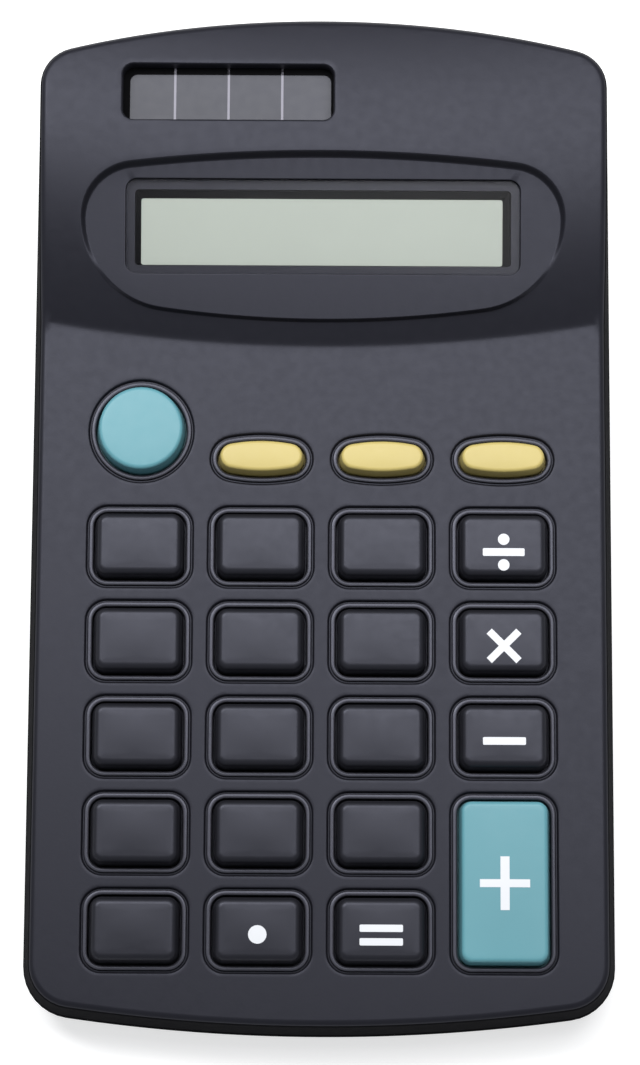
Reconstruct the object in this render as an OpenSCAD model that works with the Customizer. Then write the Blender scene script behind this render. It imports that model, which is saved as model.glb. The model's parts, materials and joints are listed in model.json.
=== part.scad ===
// Desk calculator with a tilted keyboard deck, a raised display end and 23 sprung keys.
// Millimetres. +Z up, +Y toward the display end, origin under the middle on the resting plane.

/* [Case] */
// Length of the case from the front edge to the display end
body_length = 121; // [108:1:150]
// Width of the case
body_width = 69; // [66:1:84]
// Height of the keyboard deck at the front edge
front_height = 9.5; // [9:0.5:12]
// Slope of the keyboard deck, degrees
deck_tilt = 3; // [1:0.5:5]
// Thickness of the case walls
wall = 1.8; // [1.5:0.1:2.2]
// Thickness of the bottom case's floor
floor_t = 1.6; // [1.2:0.1:2.4]
// Depth of the parting line below the deck
parting_depth = 4; // [3.2:0.1:5]
// Radius of the curved display end, seen from above
rear_arc_r = 120; // [90:1:200]
// Radius of the curved front edge, seen from above
front_arc_r = 210; // [150:1:400]
// Radius of the two corners at the display end
rear_corner_r = 5.5; // [4:0.5:9]
// Radius of the two front corners
front_corner_r = 6; // [4:0.5:9]
// Width of the stepped edge round the deck
deck_edge = 1.2; // [0.8:0.1:1.6]

/* [Display hump] */
// Length of the hump, from its front edge to the display end
hump_length = 39.6; // [38:0.1:42]
// Height of the hump's crest above the deck
hump_height = 6.85; // [6:0.05:8]
// Distance from the hump's front edge to its crest
hump_crest = 27.1; // [24:0.1:29]
// Radius of the hump's curved front edge, seen from above
hump_sweep_r = 190; // [150:1:300]
// Extra slope of the display face, on top of the deck's slope, degrees
display_slope = 10.2; // [8:0.1:12]
// Height of the display face's lower edge above the deck
display_rise = 2; // [1.8:0.1:2.4]

/* [Display] */
// Width of the display lens
lens_w = 46.8; // [40:0.1:50]
// Depth of the display lens
lens_d = 11.2; // [9:0.1:11.5]
// Thickness of the display lens
lens_t = 1; // [0.8:0.1:1.2]
// Width of the window through the case under the lens
window_w = 44.7; // [38:0.1:45]
// Depth of the window through the case under the lens
window_d = 9; // [7:0.1:9.5]
// Thickness of each liquid crystal glass plate
glass_t = 0.9; // [0.7:0.1:1]

/* [Solar cell] */
// Width of the solar cell's window
solar_w = 25.1; // [20:0.1:28]
// Depth of the solar cell's window
solar_d = 6.9; // [5:0.1:7.4]
// Depth of the cell's face below the crest of the hump
solar_recess = 2.05; // [1.9:0.05:2.2]

/* [Keys] */
// Distance between key columns
key_pitch_x = 14.27; // [14:0.01:16]
// Distance between key rows
key_pitch_y = 11.29; // [11.2:0.01:13]
// Width of a key cap
cap_w = 10.4; // [8.6:0.1:11]
// Depth of a square key cap
cap_d = 7.7; // [6.5:0.1:8]
// Corner radius of a square key cap
cap_corner_r = 1.4; // [1.2:0.1:2.5]
// Depth of an oval key cap
oval_d = 4; // [3.6:0.1:5]
// Diameter of the round key cap
round_d = 10.3; // [9:0.1:12]
// Height of the key caps above the deck
cap_h = 2; // [1.8:0.1:2.8]
// Gap all round between a cap and its opening
cap_clearance = 0.2; // [0.15:0.05:0.3]
// Width of the sunken ledge round each opening
well_ledge = 0.85; // [0.5:0.05:0.95]
// Depth of the sunken ledge
well_depth = 0.4; // [0.2:0.1:0.6]
// Travel of a key
key_travel = 0.9; // [0.6:0.1:1.1]

/* [Electronics] */
// Thickness of the keypad mat's sheet
mat_t = 0.8; // [0.6:0.1:1]
// Thickness of the circuit board
pcb_t = 1; // [0.8:0.1:1.2]
// Width of the circuit board
pcb_w = 55.2; // [54:0.1:55.6]

/* [Battery] */
// Diameter of the AAA cell
cell_d = 10.5; // [8.7:0.1:12.6]
// Length of the AAA cell over its terminals
cell_l = 44.5; // [37:0.1:45.5]
// Thickness of the battery bay's walls and roof
bay_wall = 1.1; // [0.9:0.1:1.3]

/* [Feet and screws] */
// Diameter of a rubber foot
foot_d = 8; // [6:0.5:10]
// Height that the feet stand out under the case
foot_h = 0.8; // [0.5:0.1:1.5]
// Diameter of the case screws' shanks
case_screw_d = 1.8; // [1.6:0.1:2.2]
// Diameter of the circuit board screws' shanks
pcb_screw_d = 1.4; // [1.2:0.1:1.5]

/* [Hidden] */
$fn = 48;
eps = 0.01;
part_gap = 0.1;                                  // running gap between flat faces
fit_gap = 0.05;                                  // gap round a screw or a glued plate
half_l = body_length / 2;
half_w = body_width / 2;
plain_cell_d = 10.5;                             // cell that the heights and the hump are set for
cell_growth = cell_d - plain_cell_d;             // raises the deck and lengthens the hump
deck_z = front_height + cell_growth;             // height of the deck at the front edge
above = 40;                                      // reach of a cut that has to clear the case

// Levels of the stack under the deck, measured along the deck's normal
flange_t = 0.8;
post_drop = 0.1;
key_rest = -wall - part_gap;                     // top of a key's flange, just under the deck
post_low = key_rest - flange_t - post_drop;      // foot of a key's centre post
dome_h = key_travel + 1.1;                       // height of the rubber domes above the mat's sheet
mat_top = post_low - part_gap - dome_h;          // upper face of the mat's sheet
pcb_top = mat_top - mat_t;
pcb_low = pcb_top - pcb_t;
floor_z = foot_h + floor_t;                      // upper face of the bottom case's floor

// Places along the deck, measured from the middle of the case
hump_front = half_l - hump_length - cell_growth;
display_front = hump_front + 2.6;                // lower edge of the display face
first_row = hump_front - 24.39;
oval_row = first_row + 10.62;
round_row = first_row + 13.92;
solar_v = half_l - 10.15;
solar_x = -11.35;

// Display layers, measured along the display face's normal
display_t = 1.8;                                 // thickness of the display face
lens_s = 11.2;                                   // middle of the lens, along the display face
oval_front_r = 140;                              // the oval's long edges, seen square to the face
oval_rear_r = 200;
oval_front = 0.1;                                // where they cross the middle line
oval_rear = 19.7;
oval_half_w = 28.5;
oval_wide_s = 12.1;                              // where the oval is widest
window_s = 11.1;                                 // middle of the window
lcd_front = -display_t - fit_gap;
polarizer_t = 0.2;
glass_top = lcd_front - polarizer_t;
glass_w = window_w + 3;
front_glass_d = window_d + 2.7;
contact_ledge = 2;                               // strip of the rear glass that takes the ribbon
holder_floor_t = 0.7;
holder_rim = 3.6;
holder_lip = 1.3;
holder_w = glass_w + 2 * holder_rim + 0.3;
holder_d = front_glass_d + contact_ledge + 2 * holder_lip;
holder_s = window_s - contact_ledge / 2;
reflector_low = lcd_front - 2 * polarizer_t - 2 * glass_t;
holder_low = reflector_low - holder_floor_t;
ribbon_w = 38;
ribbon_t = 0.15;

// Battery bay
cell_z = floor_z + 0.85 + cell_d / 2;
bay_d = cell_d + 0.5;
bay_rear = half_l - 5.5;                         // inner face of the bay's rear wall
cell_y = bay_rear - bay_d / 2;
bay_front = bay_rear - bay_d;
roof_z = cell_z + cell_d / 2 + 0.25;
plate_t = 0.4;
spring_l = 3.6;
plus_x = cell_l / 2 + 0.65;                      // inner face of the positive plate
minus_x = plus_x - cell_l - spring_l;            // inner face of the negative plate
door_w = cell_l + 1.4;
tongue = 1.6;                                    // width of the door's side tongues
tongue_t = 0.5;
notch_z = foot_h + 5.7;                          // top of the door's notch in the rear wall

// Screws
case_boss_r = case_screw_d / 2 + 1.3;
case_head_r = case_screw_d;
case_post_r = case_head_r + 0.8;
case_screw_x = half_w - 3.9;
front_screw_y = -half_l + 10;
rear_screw_y = half_l - 10;
front_seat_z = foot_h + 2.2;
rear_seat_z = foot_h + 7.2;
pcb_boss_r = pcb_screw_d / 2 + 0.8;

// ---- Frames ----

// Deck frame: X across, Y along the deck from the middle of the case, Z out of the deck.
module on_deck() {
    shift = half_l * (1 - cos(deck_tilt)) - parting_depth * sin(deck_tilt);
    translate([0, shift - half_l, deck_z])
        rotate([deck_tilt, 0, 0])
            translate([0, half_l, 0])
                children();
}

// Display frame: Y up the display face from its lower edge, Z out of the display face.
module on_display() {
    on_deck()
        translate([0, display_front, display_rise])
            rotate([display_slope, 0, 0])
                children();
}

// Height of a level of the deck frame above the resting plane, at a place y.
function level_z(y, level) = deck_z + (y + half_l) * sin(deck_tilt) + level;

function col_x(column) = (column - 1.5) * key_pitch_x;
function row_y(row) = first_row - row * key_pitch_y;

// ---- Outlines ----

function arc(centre, r, from, to, steps) =
    [for (i = [0:steps]) centre + r * [cos(from + (to - from) * i / steps),
                                       sin(from + (to - from) * i / steps)]];

function mirrored(points) =
    concat(points, [for (i = [len(points) - 1:-1:0]) [-points[i].x, points[i].y]]);

// Right half of the case's outline: front arc, front corner, rear corner, rear arc.
function case_half(inset) =
    let (front_r = front_arc_r - inset,
         rear_r = rear_arc_r - inset,
         front_corner = max(front_corner_r - inset, 1),
         rear_corner = max(rear_corner_r - inset, 1),
         front_centre = [0, front_arc_r - half_l],
         rear_centre = [0, half_l - rear_arc_r],
         front_x = half_w - inset - front_corner,
         rear_x = half_w - inset - rear_corner,
         front_y = front_centre.y - sqrt(pow(front_r - front_corner, 2) - pow(front_x, 2)),
         rear_y = rear_centre.y + sqrt(pow(rear_r - rear_corner, 2) - pow(rear_x, 2)),
         front_a = atan2(front_y - front_centre.y, front_x),
         rear_a = atan2(rear_y - rear_centre.y, rear_x))
    concat(arc(front_centre, front_r, -90, front_a, 8),
           arc([front_x, front_y], front_corner, front_a, 0, 6),
           arc([rear_x, rear_y], rear_corner, 0, rear_a, 6),
           arc(rear_centre, rear_r, rear_a, 90, 8));

module case_outline(inset) {
    polygon(mirrored(case_half(inset)));
}

module case_prism(inset, from, to) {
    translate([0, 0, from])
        linear_extrude(height = to - from)
            case_outline(inset);
}

module rounded_rect(w, d, r) {
    square([w - 2 * r, d], center = true);
    square([w, d - 2 * r], center = true);
    for (x = [-1, 1])
        for (y = [-1, 1])
            translate([x * (w / 2 - r), y * (d / 2 - r)])
                circle(r = r);
}

module block(w, d, r, from, to) {
    translate([0, 0, from])
        linear_extrude(height = to - from)
            rounded_rect(w, d, r);
}

// Outline between two long arcs that bulge apart, closed by round ends.
function lens_half(front, front_r, rear, rear_r, end_r) =
    let (front_c = front + front_r,
         rear_c = rear - rear_r,
         a = front_r - end_r,
         b = rear_r - end_r,
         y = (b * b - a * a + front_c * front_c - rear_c * rear_c) / (2 * (front_c - rear_c)),
         x = sqrt(b * b - pow(y - rear_c, 2)),
         front_a = atan2(y - front_c, x),
         rear_a = atan2(y - rear_c, x))
    concat(arc([0, front_c], front_r, -90, front_a, 6),
           arc([x, y], end_r, front_a, rear_a, 8),
           arc([0, rear_c], rear_r, rear_a, 90, 6));

// Radius of a corner that is upright at the oval's widest place and runs into a long edge.
function oval_corner(reach, long_r) =
    (2 * reach * long_r - pow(reach, 2) - pow(oval_half_w, 2)) / (2 * (long_r - oval_half_w));

// Right half of the oval: long front edge, two corners, long rear edge.
function display_half(inset) =
    let (front_corner = oval_corner(oval_wide_s - oval_front, oval_front_r),
         rear_corner = oval_corner(oval_rear - oval_wide_s, oval_rear_r),
         front_c = [oval_half_w - front_corner, oval_wide_s],
         rear_c = [oval_half_w - rear_corner, oval_wide_s],
         front_long = [0, oval_front + oval_front_r],
         rear_long = [0, oval_rear - oval_rear_r],
         front_a = atan2(front_c.y - front_long.y, front_c.x),
         rear_a = atan2(rear_c.y - rear_long.y, rear_c.x))
    concat(arc(front_long, oval_front_r - inset, -90, front_a, 6),
           arc(front_c, front_corner - inset, front_a, 0, 6),
           arc(rear_c, rear_corner - inset, 0, rear_a, 6),
           arc(rear_long, oval_rear_r - inset, rear_a, 90, 6));

module display_oval(inset) {
    polygon(mirrored(display_half(inset)));
}

module key_oval(grow) {
    half_d = oval_d / 2 + grow;
    end_r = 0.42 * oval_d + grow;
    long_r = pow(cap_w / 2 - 0.42 * oval_d, 2) / (oval_d / 2 - 0.42 * oval_d) / 2 + grow;
    polygon(mirrored(lens_half(-half_d, long_r, half_d, long_r, end_r)));
}

// ---- Swept wires ----

function unit(v) = v / norm(v);

function carried(tangents, normal, i = 0) =
    i == len(tangents) ? [] :
    let (n = unit(normal - (normal * tangents[i]) * tangents[i]))
    concat([n], carried(tangents, n, i + 1));

// Route through the given corners, with each inner corner rounded by a short curve.
function rounded_route(corners, reach) =
    concat([corners[0]],
           [for (i = [1:len(corners) - 2])
               let (p = corners[i],
                    a = p + reach * unit(corners[i - 1] - p),
                    b = p + reach * unit(corners[i + 1] - p))
               for (k = [0:4])
                   pow(1 - k / 4, 2) * a + 2 * (1 - k / 4) * (k / 4) * p + pow(k / 4, 2) * b],
           [corners[len(corners) - 1]]);

module sweep(points, r, normal = [0, 0, 1], sides = 8) {
    last = len(points) - 1;
    tangents = [for (i = [0:last]) unit(points[min(i + 1, last)] - points[max(i - 1, 0)])];
    normals = carried(tangents, normal);
    rings = [for (i = [0:last])
                for (j = [0:sides - 1])
                    points[i] + r * cos(360 * j / sides) * normals[i]
                              + r * sin(360 * j / sides) * cross(tangents[i], normals[i])];
    walls = [for (i = [0:last - 1])
                for (j = [0:sides - 1])
                    let (k = (j + 1) % sides)
                    [i * sides + j, i * sides + k, (i + 1) * sides + k, (i + 1) * sides + j]];
    start = [[for (j = [sides - 1:-1:0]) j]];
    end = [[for (j = [0:sides - 1]) last * sides + j]];
    outward = [for (f = concat(walls, start, end)) [for (k = [len(f) - 1:-1:0]) f[k]]];
    polyhedron(points = rings, faces = outward);
}

// ---- Key positions ----

square_keys = [for (row = [0:4])
    for (column = [0:3])
        if (column < 3 || row < 3)
            [col_x(column), row_y(row)]];
oval_keys = [for (column = [1:3]) [col_x(column), oval_row]];
round_key = [col_x(0), round_row];
tall_key = [col_x(3), (row_y(3) + row_y(4)) / 2];
tall_d = cap_d + key_pitch_y;
key_places = concat(square_keys, oval_keys, [round_key, tall_key]);

// Screws that hold the circuit board, in the gaps between four keys.
row_gap = (row_y(0) + cap_d / 2 + oval_row - oval_d / 2) / 2;
pcb_screw_places = [[-key_pitch_x, row_gap], [key_pitch_x, row_gap],
    [-key_pitch_x, row_y(1.5)], [key_pitch_x, row_y(1.5)],
    [-key_pitch_x, row_y(3.5)], [0, row_y(3.5)]];

// Outline of every key hole, grown beyond its cap.
module key_holes(grow) {
    for (p = square_keys)
        translate(p)
            rounded_rect(cap_w + 2 * grow, cap_d + 2 * grow, cap_corner_r + grow);
    translate(tall_key)
        rounded_rect(cap_w + 2 * grow, tall_d + 2 * grow, cap_corner_r + grow);
    translate(round_key)
        circle(d = round_d + 2 * grow);
    for (p = oval_keys)
        translate(p)
            key_oval(grow);
}

// ---- Case ----

// Solid ring whose crown is the hump, swept round a centre behind the case.
module hump_ring(inset) {
    ring_r = hump_sweep_r - hump_crest;
    section_r = (pow(hump_crest, 2) + pow(hump_height, 2)) / (2 * hump_height);
    translate([0, hump_front + hump_sweep_r, 0])
        rotate_extrude($fn = 180)
            intersection() {
                translate([ring_r, hump_height - section_r])
                    circle(r = section_r - inset, $fn = 180);
                translate([ring_r - 50, -wall - 0.6])
                    square([100, 20]);
            }
}

module hump(inset, edge) {
    intersection() {
        hump_ring(inset);
        case_prism(edge, -wall - 1, hump_height + 2);
    }
}

module solar_block(margin, from, to) {
    translate([solar_x, solar_v, 0])
        block(solar_w + 2 * margin, solar_d + 2 * margin, 1.3, from, to);
}

solar_face = hump_height - solar_recess;
solar_margin = 1.4;
gasket_t = 0.3;
solar_t = 1.1;

// Where the two case halves meet: everything above or below the parting plane.
module above_parting() {
    on_deck()
        translate([-above, -2 * above, -parting_depth])
            cube([2 * above, 4 * above, above]);
}

module below_parting() {
    on_deck()
        translate([-above, -2 * above, -parting_depth - above])
            cube([2 * above, 4 * above, above]);
}

module case_screw_axes() {
    for (x = [-1, 1])
        for (y = [front_screw_y, rear_screw_y])
            translate([x * case_screw_x, y, 0])
                children();
}

module top_shell() {
    on_deck() {
        difference() {
            union() {
                case_prism(0.15, -parting_depth, -deck_edge);
                case_prism(deck_edge, -deck_edge - eps, 0);
                hump(0, deck_edge);
            }
            case_prism(wall, -parting_depth - 1, -wall);
            hump(wall, deck_edge + wall);
            translate([0, 0, -well_depth])
                linear_extrude(height = 1)
                    key_holes(cap_clearance + well_ledge);
            translate([0, 0, -wall - 1])
                linear_extrude(height = wall + 2)
                    key_holes(cap_clearance);
        }
        solar_block(solar_margin, solar_face, solar_face + 1.2);
        for (p = pcb_screw_places)
            translate([p.x, p.y, pcb_top])
                cylinder(r = pcb_boss_r, h = -pcb_top - wall / 2);
    }
    intersection() {
        case_screw_axes()
            cylinder(r = case_boss_r, h = above);
        above_parting();
        on_deck()
            union() {
                case_prism(deck_edge, -parting_depth - 1, -wall / 2);
                hump(wall / 2, deck_edge);
            }
    }
}

module display_face() {
    on_display() {
        translate([0, 0, -display_t])
            linear_extrude(height = display_t)
                display_oval(0);
        translate([0, 0, -display_t])
            linear_extrude(height = display_t / 2)
                display_oval(-1.5);
    }
}

module top_case() {
    color([0.24, 0.24, 0.27])
        difference() {
            union() {
                difference() {
                    top_shell();
                    on_display()
                        linear_extrude(height = 8)
                            display_oval(0);
                }
                display_face();
            }
            on_display() {
                translate([0, lens_s, 0])
                    block(lens_w + 2 * fit_gap, lens_d + 2 * fit_gap, 1.3, -lens_t - fit_gap, 1);
                translate([0, window_s, 0])
                    block(window_w, window_d, 0.5, -display_t - 1, 1);
                translate([0, holder_s, 0])
                    block(holder_w + 0.4, holder_d + 0.4, 1, holder_low - 3, -display_t);
                lcd_screw_axes()
                    translate([0, 0, -display_t - 1])
                        cylinder(d = pcb_screw_d - 0.1, h = display_t + 0.4);
            }
            on_deck() {
                solar_block(0, solar_face - 1, hump_height + 2);
                solar_block(solar_margin, solar_face - 3, solar_face);
                for (p = pcb_screw_places)
                    translate([p.x, p.y, pcb_top - 1])
                        cylinder(d = pcb_screw_d + 2 * fit_gap, h = 1 - pcb_top - wall - 0.4);
            }
            for (x = [-1, 1]) {
                translate([x * case_screw_x, front_screw_y, 0])
                    cylinder(d = case_screw_d + 2 * fit_gap, h = level_z(front_screw_y, -wall) - 0.2);
                translate([x * case_screw_x, rear_screw_y, 0])
                    cylinder(d = case_screw_d + 2 * fit_gap, h = rear_seat_z + 8);
            }
        }
}

// Space inside the top case's walls, kept a gap away from them.
module inside_top(gap) {
    on_deck() {
        case_prism(wall + gap, -above, -wall - 1);
        case_prism(deck_edge + wall + gap, -above, hump_height);
    }
}

// Footprint of the feet, near the four corners of the floor.
foot_corners = [[half_w - 12.5, -half_l + 9.5], [half_w - 8, half_l - 25]];
foot_places = [for (x = [-1, 1])
    for (p = foot_corners)
        [x * p.x, p.y]];

module bay_shell() {
    x_low = minus_x - plate_t - 0.1 - bay_wall;
    x_high = plus_x + plate_t + 0.1 + bay_wall;
    difference() {
        translate([x_low, bay_front - bay_wall, floor_z - eps])
            cube([x_high - x_low, bay_d + 2 * bay_wall, roof_z + bay_wall - floor_z]);
        translate([x_low + bay_wall, bay_front, floor_z - 1])
            cube([x_high - x_low - 2 * bay_wall, bay_d, roof_z - floor_z + 1]);
        // Slots over the contact plates, for their solder tabs
        translate([x_low - 1, bay_front + 0.6, roof_z - eps])
            cube([bay_wall + 2.4, 3, bay_wall + 1]);
        translate([x_high - bay_wall - 1.4, bay_front + 0.6, roof_z - eps])
            cube([bay_wall + 2.4, 3, bay_wall + 1]);
    }
}

// Space for the door: the floor opening, the tongues' grooves and the notch in the rear wall.
module door_space(gap) {
    rear = half_l + 5;
    translate([-door_w / 2 - gap, bay_front - 0.9 - gap, -1])
        cube([door_w + 2 * gap, rear - bay_front, floor_z + 1 + eps]);
    translate([-door_w / 2 - tongue - gap, bay_front - 0.9 - gap, floor_z - eps])
        cube([door_w + 2 * tongue + 2 * gap, rear - bay_front, tongue_t + 0.1 + gap]);
    translate([-door_w / 2 - tongue - gap, bay_rear + bay_wall + 0.1, floor_z - eps])
        cube([door_w + 2 * tongue + 2 * gap, rear - bay_rear, notch_z - floor_z + gap]);
}

module pcb_ribs() {
    intersection() {
        on_deck()
            for (y = [row_y(4.3), row_y(2), oval_row])
                translate([-pcb_w / 2 + 3, y, pcb_low - fit_gap - above])
                    cube([pcb_w - 6, 1.2, above]);
        translate([-half_w, -half_l, floor_z - eps])
            cube([body_width, body_length, above]);
    }
}

module bottom_case() {
    color([0.13, 0.13, 0.15])
        difference() {
            union() {
                intersection() {
                    union() {
                        difference() {
                            union() {
                                case_prism(0, foot_h + 0.8, above);
                                case_prism(1, foot_h, foot_h + 1);
                            }
                            case_prism(wall, floor_z, above + 1);
                        }
                        case_screw_axes()
                            translate([0, 0, foot_h])
                                cylinder(r = case_post_r, h = above);
                    }
                    below_parting();
                    case_prism(0, 0, above);
                }
                intersection() {
                    bay_shell();
                    inside_top(0.25);
                }
                pcb_ribs();
            }
            door_space(0.25);
            for (x = [-1, 1])
                for (s = [[front_screw_y, front_seat_z], [rear_screw_y, rear_seat_z]])
                    translate([x * case_screw_x, s[0], 0]) {
                        cylinder(r = case_head_r + 0.15, h = s[1]);
                        cylinder(d = case_screw_d + 0.3, h = above);
                    }
            for (p = foot_places)
                translate([p.x, p.y, 0])
                    cylinder(d = foot_d + 2 * fit_gap, h = foot_h + 0.4);
        }
}

module battery_door() {
    front = bay_front - 0.9;
    color([0.13, 0.13, 0.15])
        difference() {
            intersection() {
                union() {
                    translate([-door_w / 2, front, foot_h])
                        cube([door_w, half_l - front, floor_t]);
                    translate([-door_w / 2 - tongue, front, floor_z + 0.1])
                        cube([door_w + 2 * tongue, bay_rear - front, tongue_t]);
                    translate([-door_w / 2, front, floor_z - eps])
                        cube([door_w, bay_rear - front, 0.2]);
                    translate([-door_w / 2, bay_rear + bay_wall + 0.4, foot_h])
                        cube([door_w, half_l - bay_rear, notch_z - foot_h]);
                    translate([-door_w / 2 - tongue, bay_rear + bay_wall + 0.4, floor_z + 0.1])
                        cube([door_w + 2 * tongue, half_l - bay_rear, notch_z - floor_z - 0.1]);
                }
                union() {
                    case_prism(0, foot_h + 0.8, above);
                    case_prism(1, foot_h, foot_h + 1);
                }
            }
            // Grip grooves on the underside
            for (i = [0:3])
                translate([-8, bay_front + 3 + 2 * i, foot_h - eps])
                    cube([16, 0.9, 0.4]);
        }
}

module rubber_feet() {
    color([0.1, 0.1, 0.1])
        for (p = foot_places)
            translate([p.x, p.y, 0])
                cylinder(d = foot_d, h = foot_h + 0.4);
}

// ---- Display ----

module lcd_screw_axes() {
    for (x = [-1, 1])
        for (y = [-1, 1])
            translate([x * (glass_w / 2 + holder_rim / 2 + 0.1), holder_s + y * 4.5, 0])
                children();
}

module display_lens() {
    color([0.7, 0.78, 0.74, 0.5])
        on_display()
            translate([0, lens_s, 0])
                block(lens_w, lens_d, 1.25, -lens_t - fit_gap, -fit_gap);
}

module lcd_polarizer() {
    color([0.62, 0.67, 0.6])
        on_display()
            translate([0, window_s, 0])
                block(glass_w - 1, front_glass_d - 1, 0.3, glass_top, lcd_front);
}

module lcd_front_glass() {
    color([0.72, 0.8, 0.76, 0.5])
        on_display()
            translate([0, window_s, 0])
                block(glass_w, front_glass_d, 0.2, glass_top - glass_t, glass_top);
}

module lcd_rear_glass() {
    color([0.72, 0.8, 0.76, 0.5])
        on_display()
            translate([0, holder_s, 0])
                block(glass_w, front_glass_d + contact_ledge, 0.2,
                    glass_top - 2 * glass_t, glass_top - glass_t);
}

module lcd_reflector() {
    color([0.75, 0.77, 0.72])
        on_display()
            translate([0, window_s, 0])
                block(glass_w - 1, front_glass_d - 1, 0.3, reflector_low, reflector_low + polarizer_t);
}

module lcd_holder() {
    color([0.85, 0.85, 0.82])
        on_display()
            difference() {
                translate([0, holder_s, 0])
                    block(holder_w, holder_d, 0.8, holder_low, lcd_front);
                translate([0, holder_s, 0])
                    block(glass_w + 0.2, holder_d - 2 * holder_lip + 0.2, 0.3,
                          reflector_low, lcd_front + 1);
                // Mouth for the ribbon in the front wall
                translate([-ribbon_w / 2 - 0.5, holder_s - holder_d / 2 - 1, reflector_low + polarizer_t])
                    cube([ribbon_w + 1, holder_lip + 1.2, above]);
                lcd_screw_axes()
                    translate([0, 0, holder_low - 1])
                        cylinder(d = pcb_screw_d + 0.2, h = 8);
            }
}

// Small pan-head screw standing on its head's underside, shank up.
module screw(shank_d, shank_l, head_d, head_h) {
    difference() {
        union() {
            translate([0, 0, -head_h])
                cylinder(d = head_d, h = head_h);
            translate([0, 0, -eps])
                cylinder(d = shank_d, h = shank_l);
        }
        for (a = [0, 90])
            rotate([0, 0, a])
                translate([-0.35 * head_d, -0.2, -head_h - 1])
                    cube([0.7 * head_d, 0.4, 1 + head_h / 2]);
    }
}

module lcd_screws() {
    color([0.75, 0.75, 0.78])
        on_display()
            lcd_screw_axes()
                translate([0, 0, holder_low])
                    screw(pcb_screw_d - 0.2, -holder_low - display_t + 1, 2.6, 0.7);
}

// Side view of the ribbon: off the glass ledge, over the holder's mouth and down to the board.
module lcd_ribbon() {
    ledge = glass_top - glass_t;
    tip_y = holder_s - holder_d / 2 - 0.5;
    tip = [display_front + tip_y * cos(display_slope) - ledge * sin(display_slope),
           display_rise + tip_y * sin(display_slope) + ledge * cos(display_slope)];
    color([0.85, 0.6, 0.25]) {
        on_display()
            translate([-ribbon_w / 2, tip_y, ledge])
                cube([ribbon_w, holder_lip + contact_ledge + 0.2, ribbon_t]);
        on_deck() {
            translate([-ribbon_w / 2, tip.x - ribbon_t, pcb_top])
                cube([ribbon_w, ribbon_t + 0.05, tip.y - pcb_top + ribbon_t]);
            translate([-ribbon_w / 2, tip.x - 2.5, pcb_top])
                cube([ribbon_w, 2.5, ribbon_t]);
        }
    }
}

// ---- Solar cell ----

module solar_gasket() {
    color([0.15, 0.15, 0.15])
        on_deck()
            difference() {
                solar_block(solar_margin - 0.2, solar_face - gasket_t, solar_face);
                solar_block(0.2, solar_face - 1, solar_face + 1);
            }
}

module solar_cell() {
    color([0.3, 0.26, 0.32])
        on_deck()
            solar_block(solar_margin - 0.3, solar_face - gasket_t - solar_t, solar_face - gasket_t);
}

solar_low_z = level_z(solar_v, solar_face - gasket_t - solar_t);
lead_r = 0.4;
lead_level = roof_z + bay_wall + plate_t - 3.1;  // where the leads turn in over the circuit board
lead_x = holder_w / 2 + 1.15;                    // the battery leads pass outside the display holder

module solar_leads() {
    color([0.7, 0.15, 0.12])
        for (i = [0, 1]) {
            side_x = -half_w + wall + 1.7 + 1.3 * i;
            start = [solar_x - 8, solar_v - 1.2 + 2.4 * i, solar_low_z - lead_r - 0.05];
            bend_y = bay_front - 2.8 - 1.2 * i;
            land_x = -pcb_w / 2 + 1.2 + 1.3 * i;
            sweep(rounded_route([start,
                                 [start.x - 1.5, start.y, start.z - 1],
                                 [start.x - 1.5 - i, bay_front + 1, start.z - 1.2],
                                 [side_x, bay_front - 0.5 - i, start.z - 1.6],
                                 [side_x, bend_y, start.z - 3],
                                 [side_x, bend_y, lead_level],
                                 [land_x, bend_y, lead_level - 0.8],
                                 [land_x, bend_y, level_z(bend_y, pcb_top) + part_gap]], 0.7),
                lead_r, [0, 1, 0]);
        }
}

// ---- Circuit board ----

pcb_front = row_y(4) - cap_d / 2 - 3;
pcb_rear = bay_front - bay_wall - 0.8;

module main_pcb() {
    color([0.16, 0.42, 0.2])
        on_deck()
            difference() {
                translate([-pcb_w / 2, pcb_front, pcb_low])
                    cube([pcb_w, pcb_rear - pcb_front, pcb_t]);
                for (p = pcb_screw_places)
                    translate([p.x, p.y, pcb_low - 1])
                        cylinder(d = pcb_screw_d + 0.4, h = pcb_t + 2);
            }
}

module controller_chip() {
    blob_r = 5;
    blob_h = 1.5;
    ball_r = (blob_r * blob_r + blob_h * blob_h) / (2 * blob_h);
    color([0.06, 0.06, 0.06])
        on_deck()
            translate([6, display_front + 8.6, pcb_top])
                intersection() {
                    translate([0, 0, blob_h - ball_r])
                        sphere(r = ball_r, $fn = 64);
                    cylinder(r = blob_r + 1, h = blob_h + 1);
                }
}

module capacitor() {
    can_r = 2;
    color([0.12, 0.16, 0.35])
        on_deck()
            translate([-10, display_front + 9, pcb_top + can_r]) {
                rotate([0, 90, 0])
                    cylinder(r = can_r, h = 7, center = true);
                for (y = [-0.8, 0.8])
                    translate([3, y - 0.2, -can_r])
                        cube([1.8, 0.4, can_r + 0.2]);
            }
}

module chip_components() {
    color([0.55, 0.45, 0.35])
        on_deck()
            for (i = [0:7])
                translate([-20 + 2.6 * i + (i > 4 ? 20 : 0), display_front + 12.2, pcb_top])
                    cube([1.2, 2, 0.8]);
}

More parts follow.
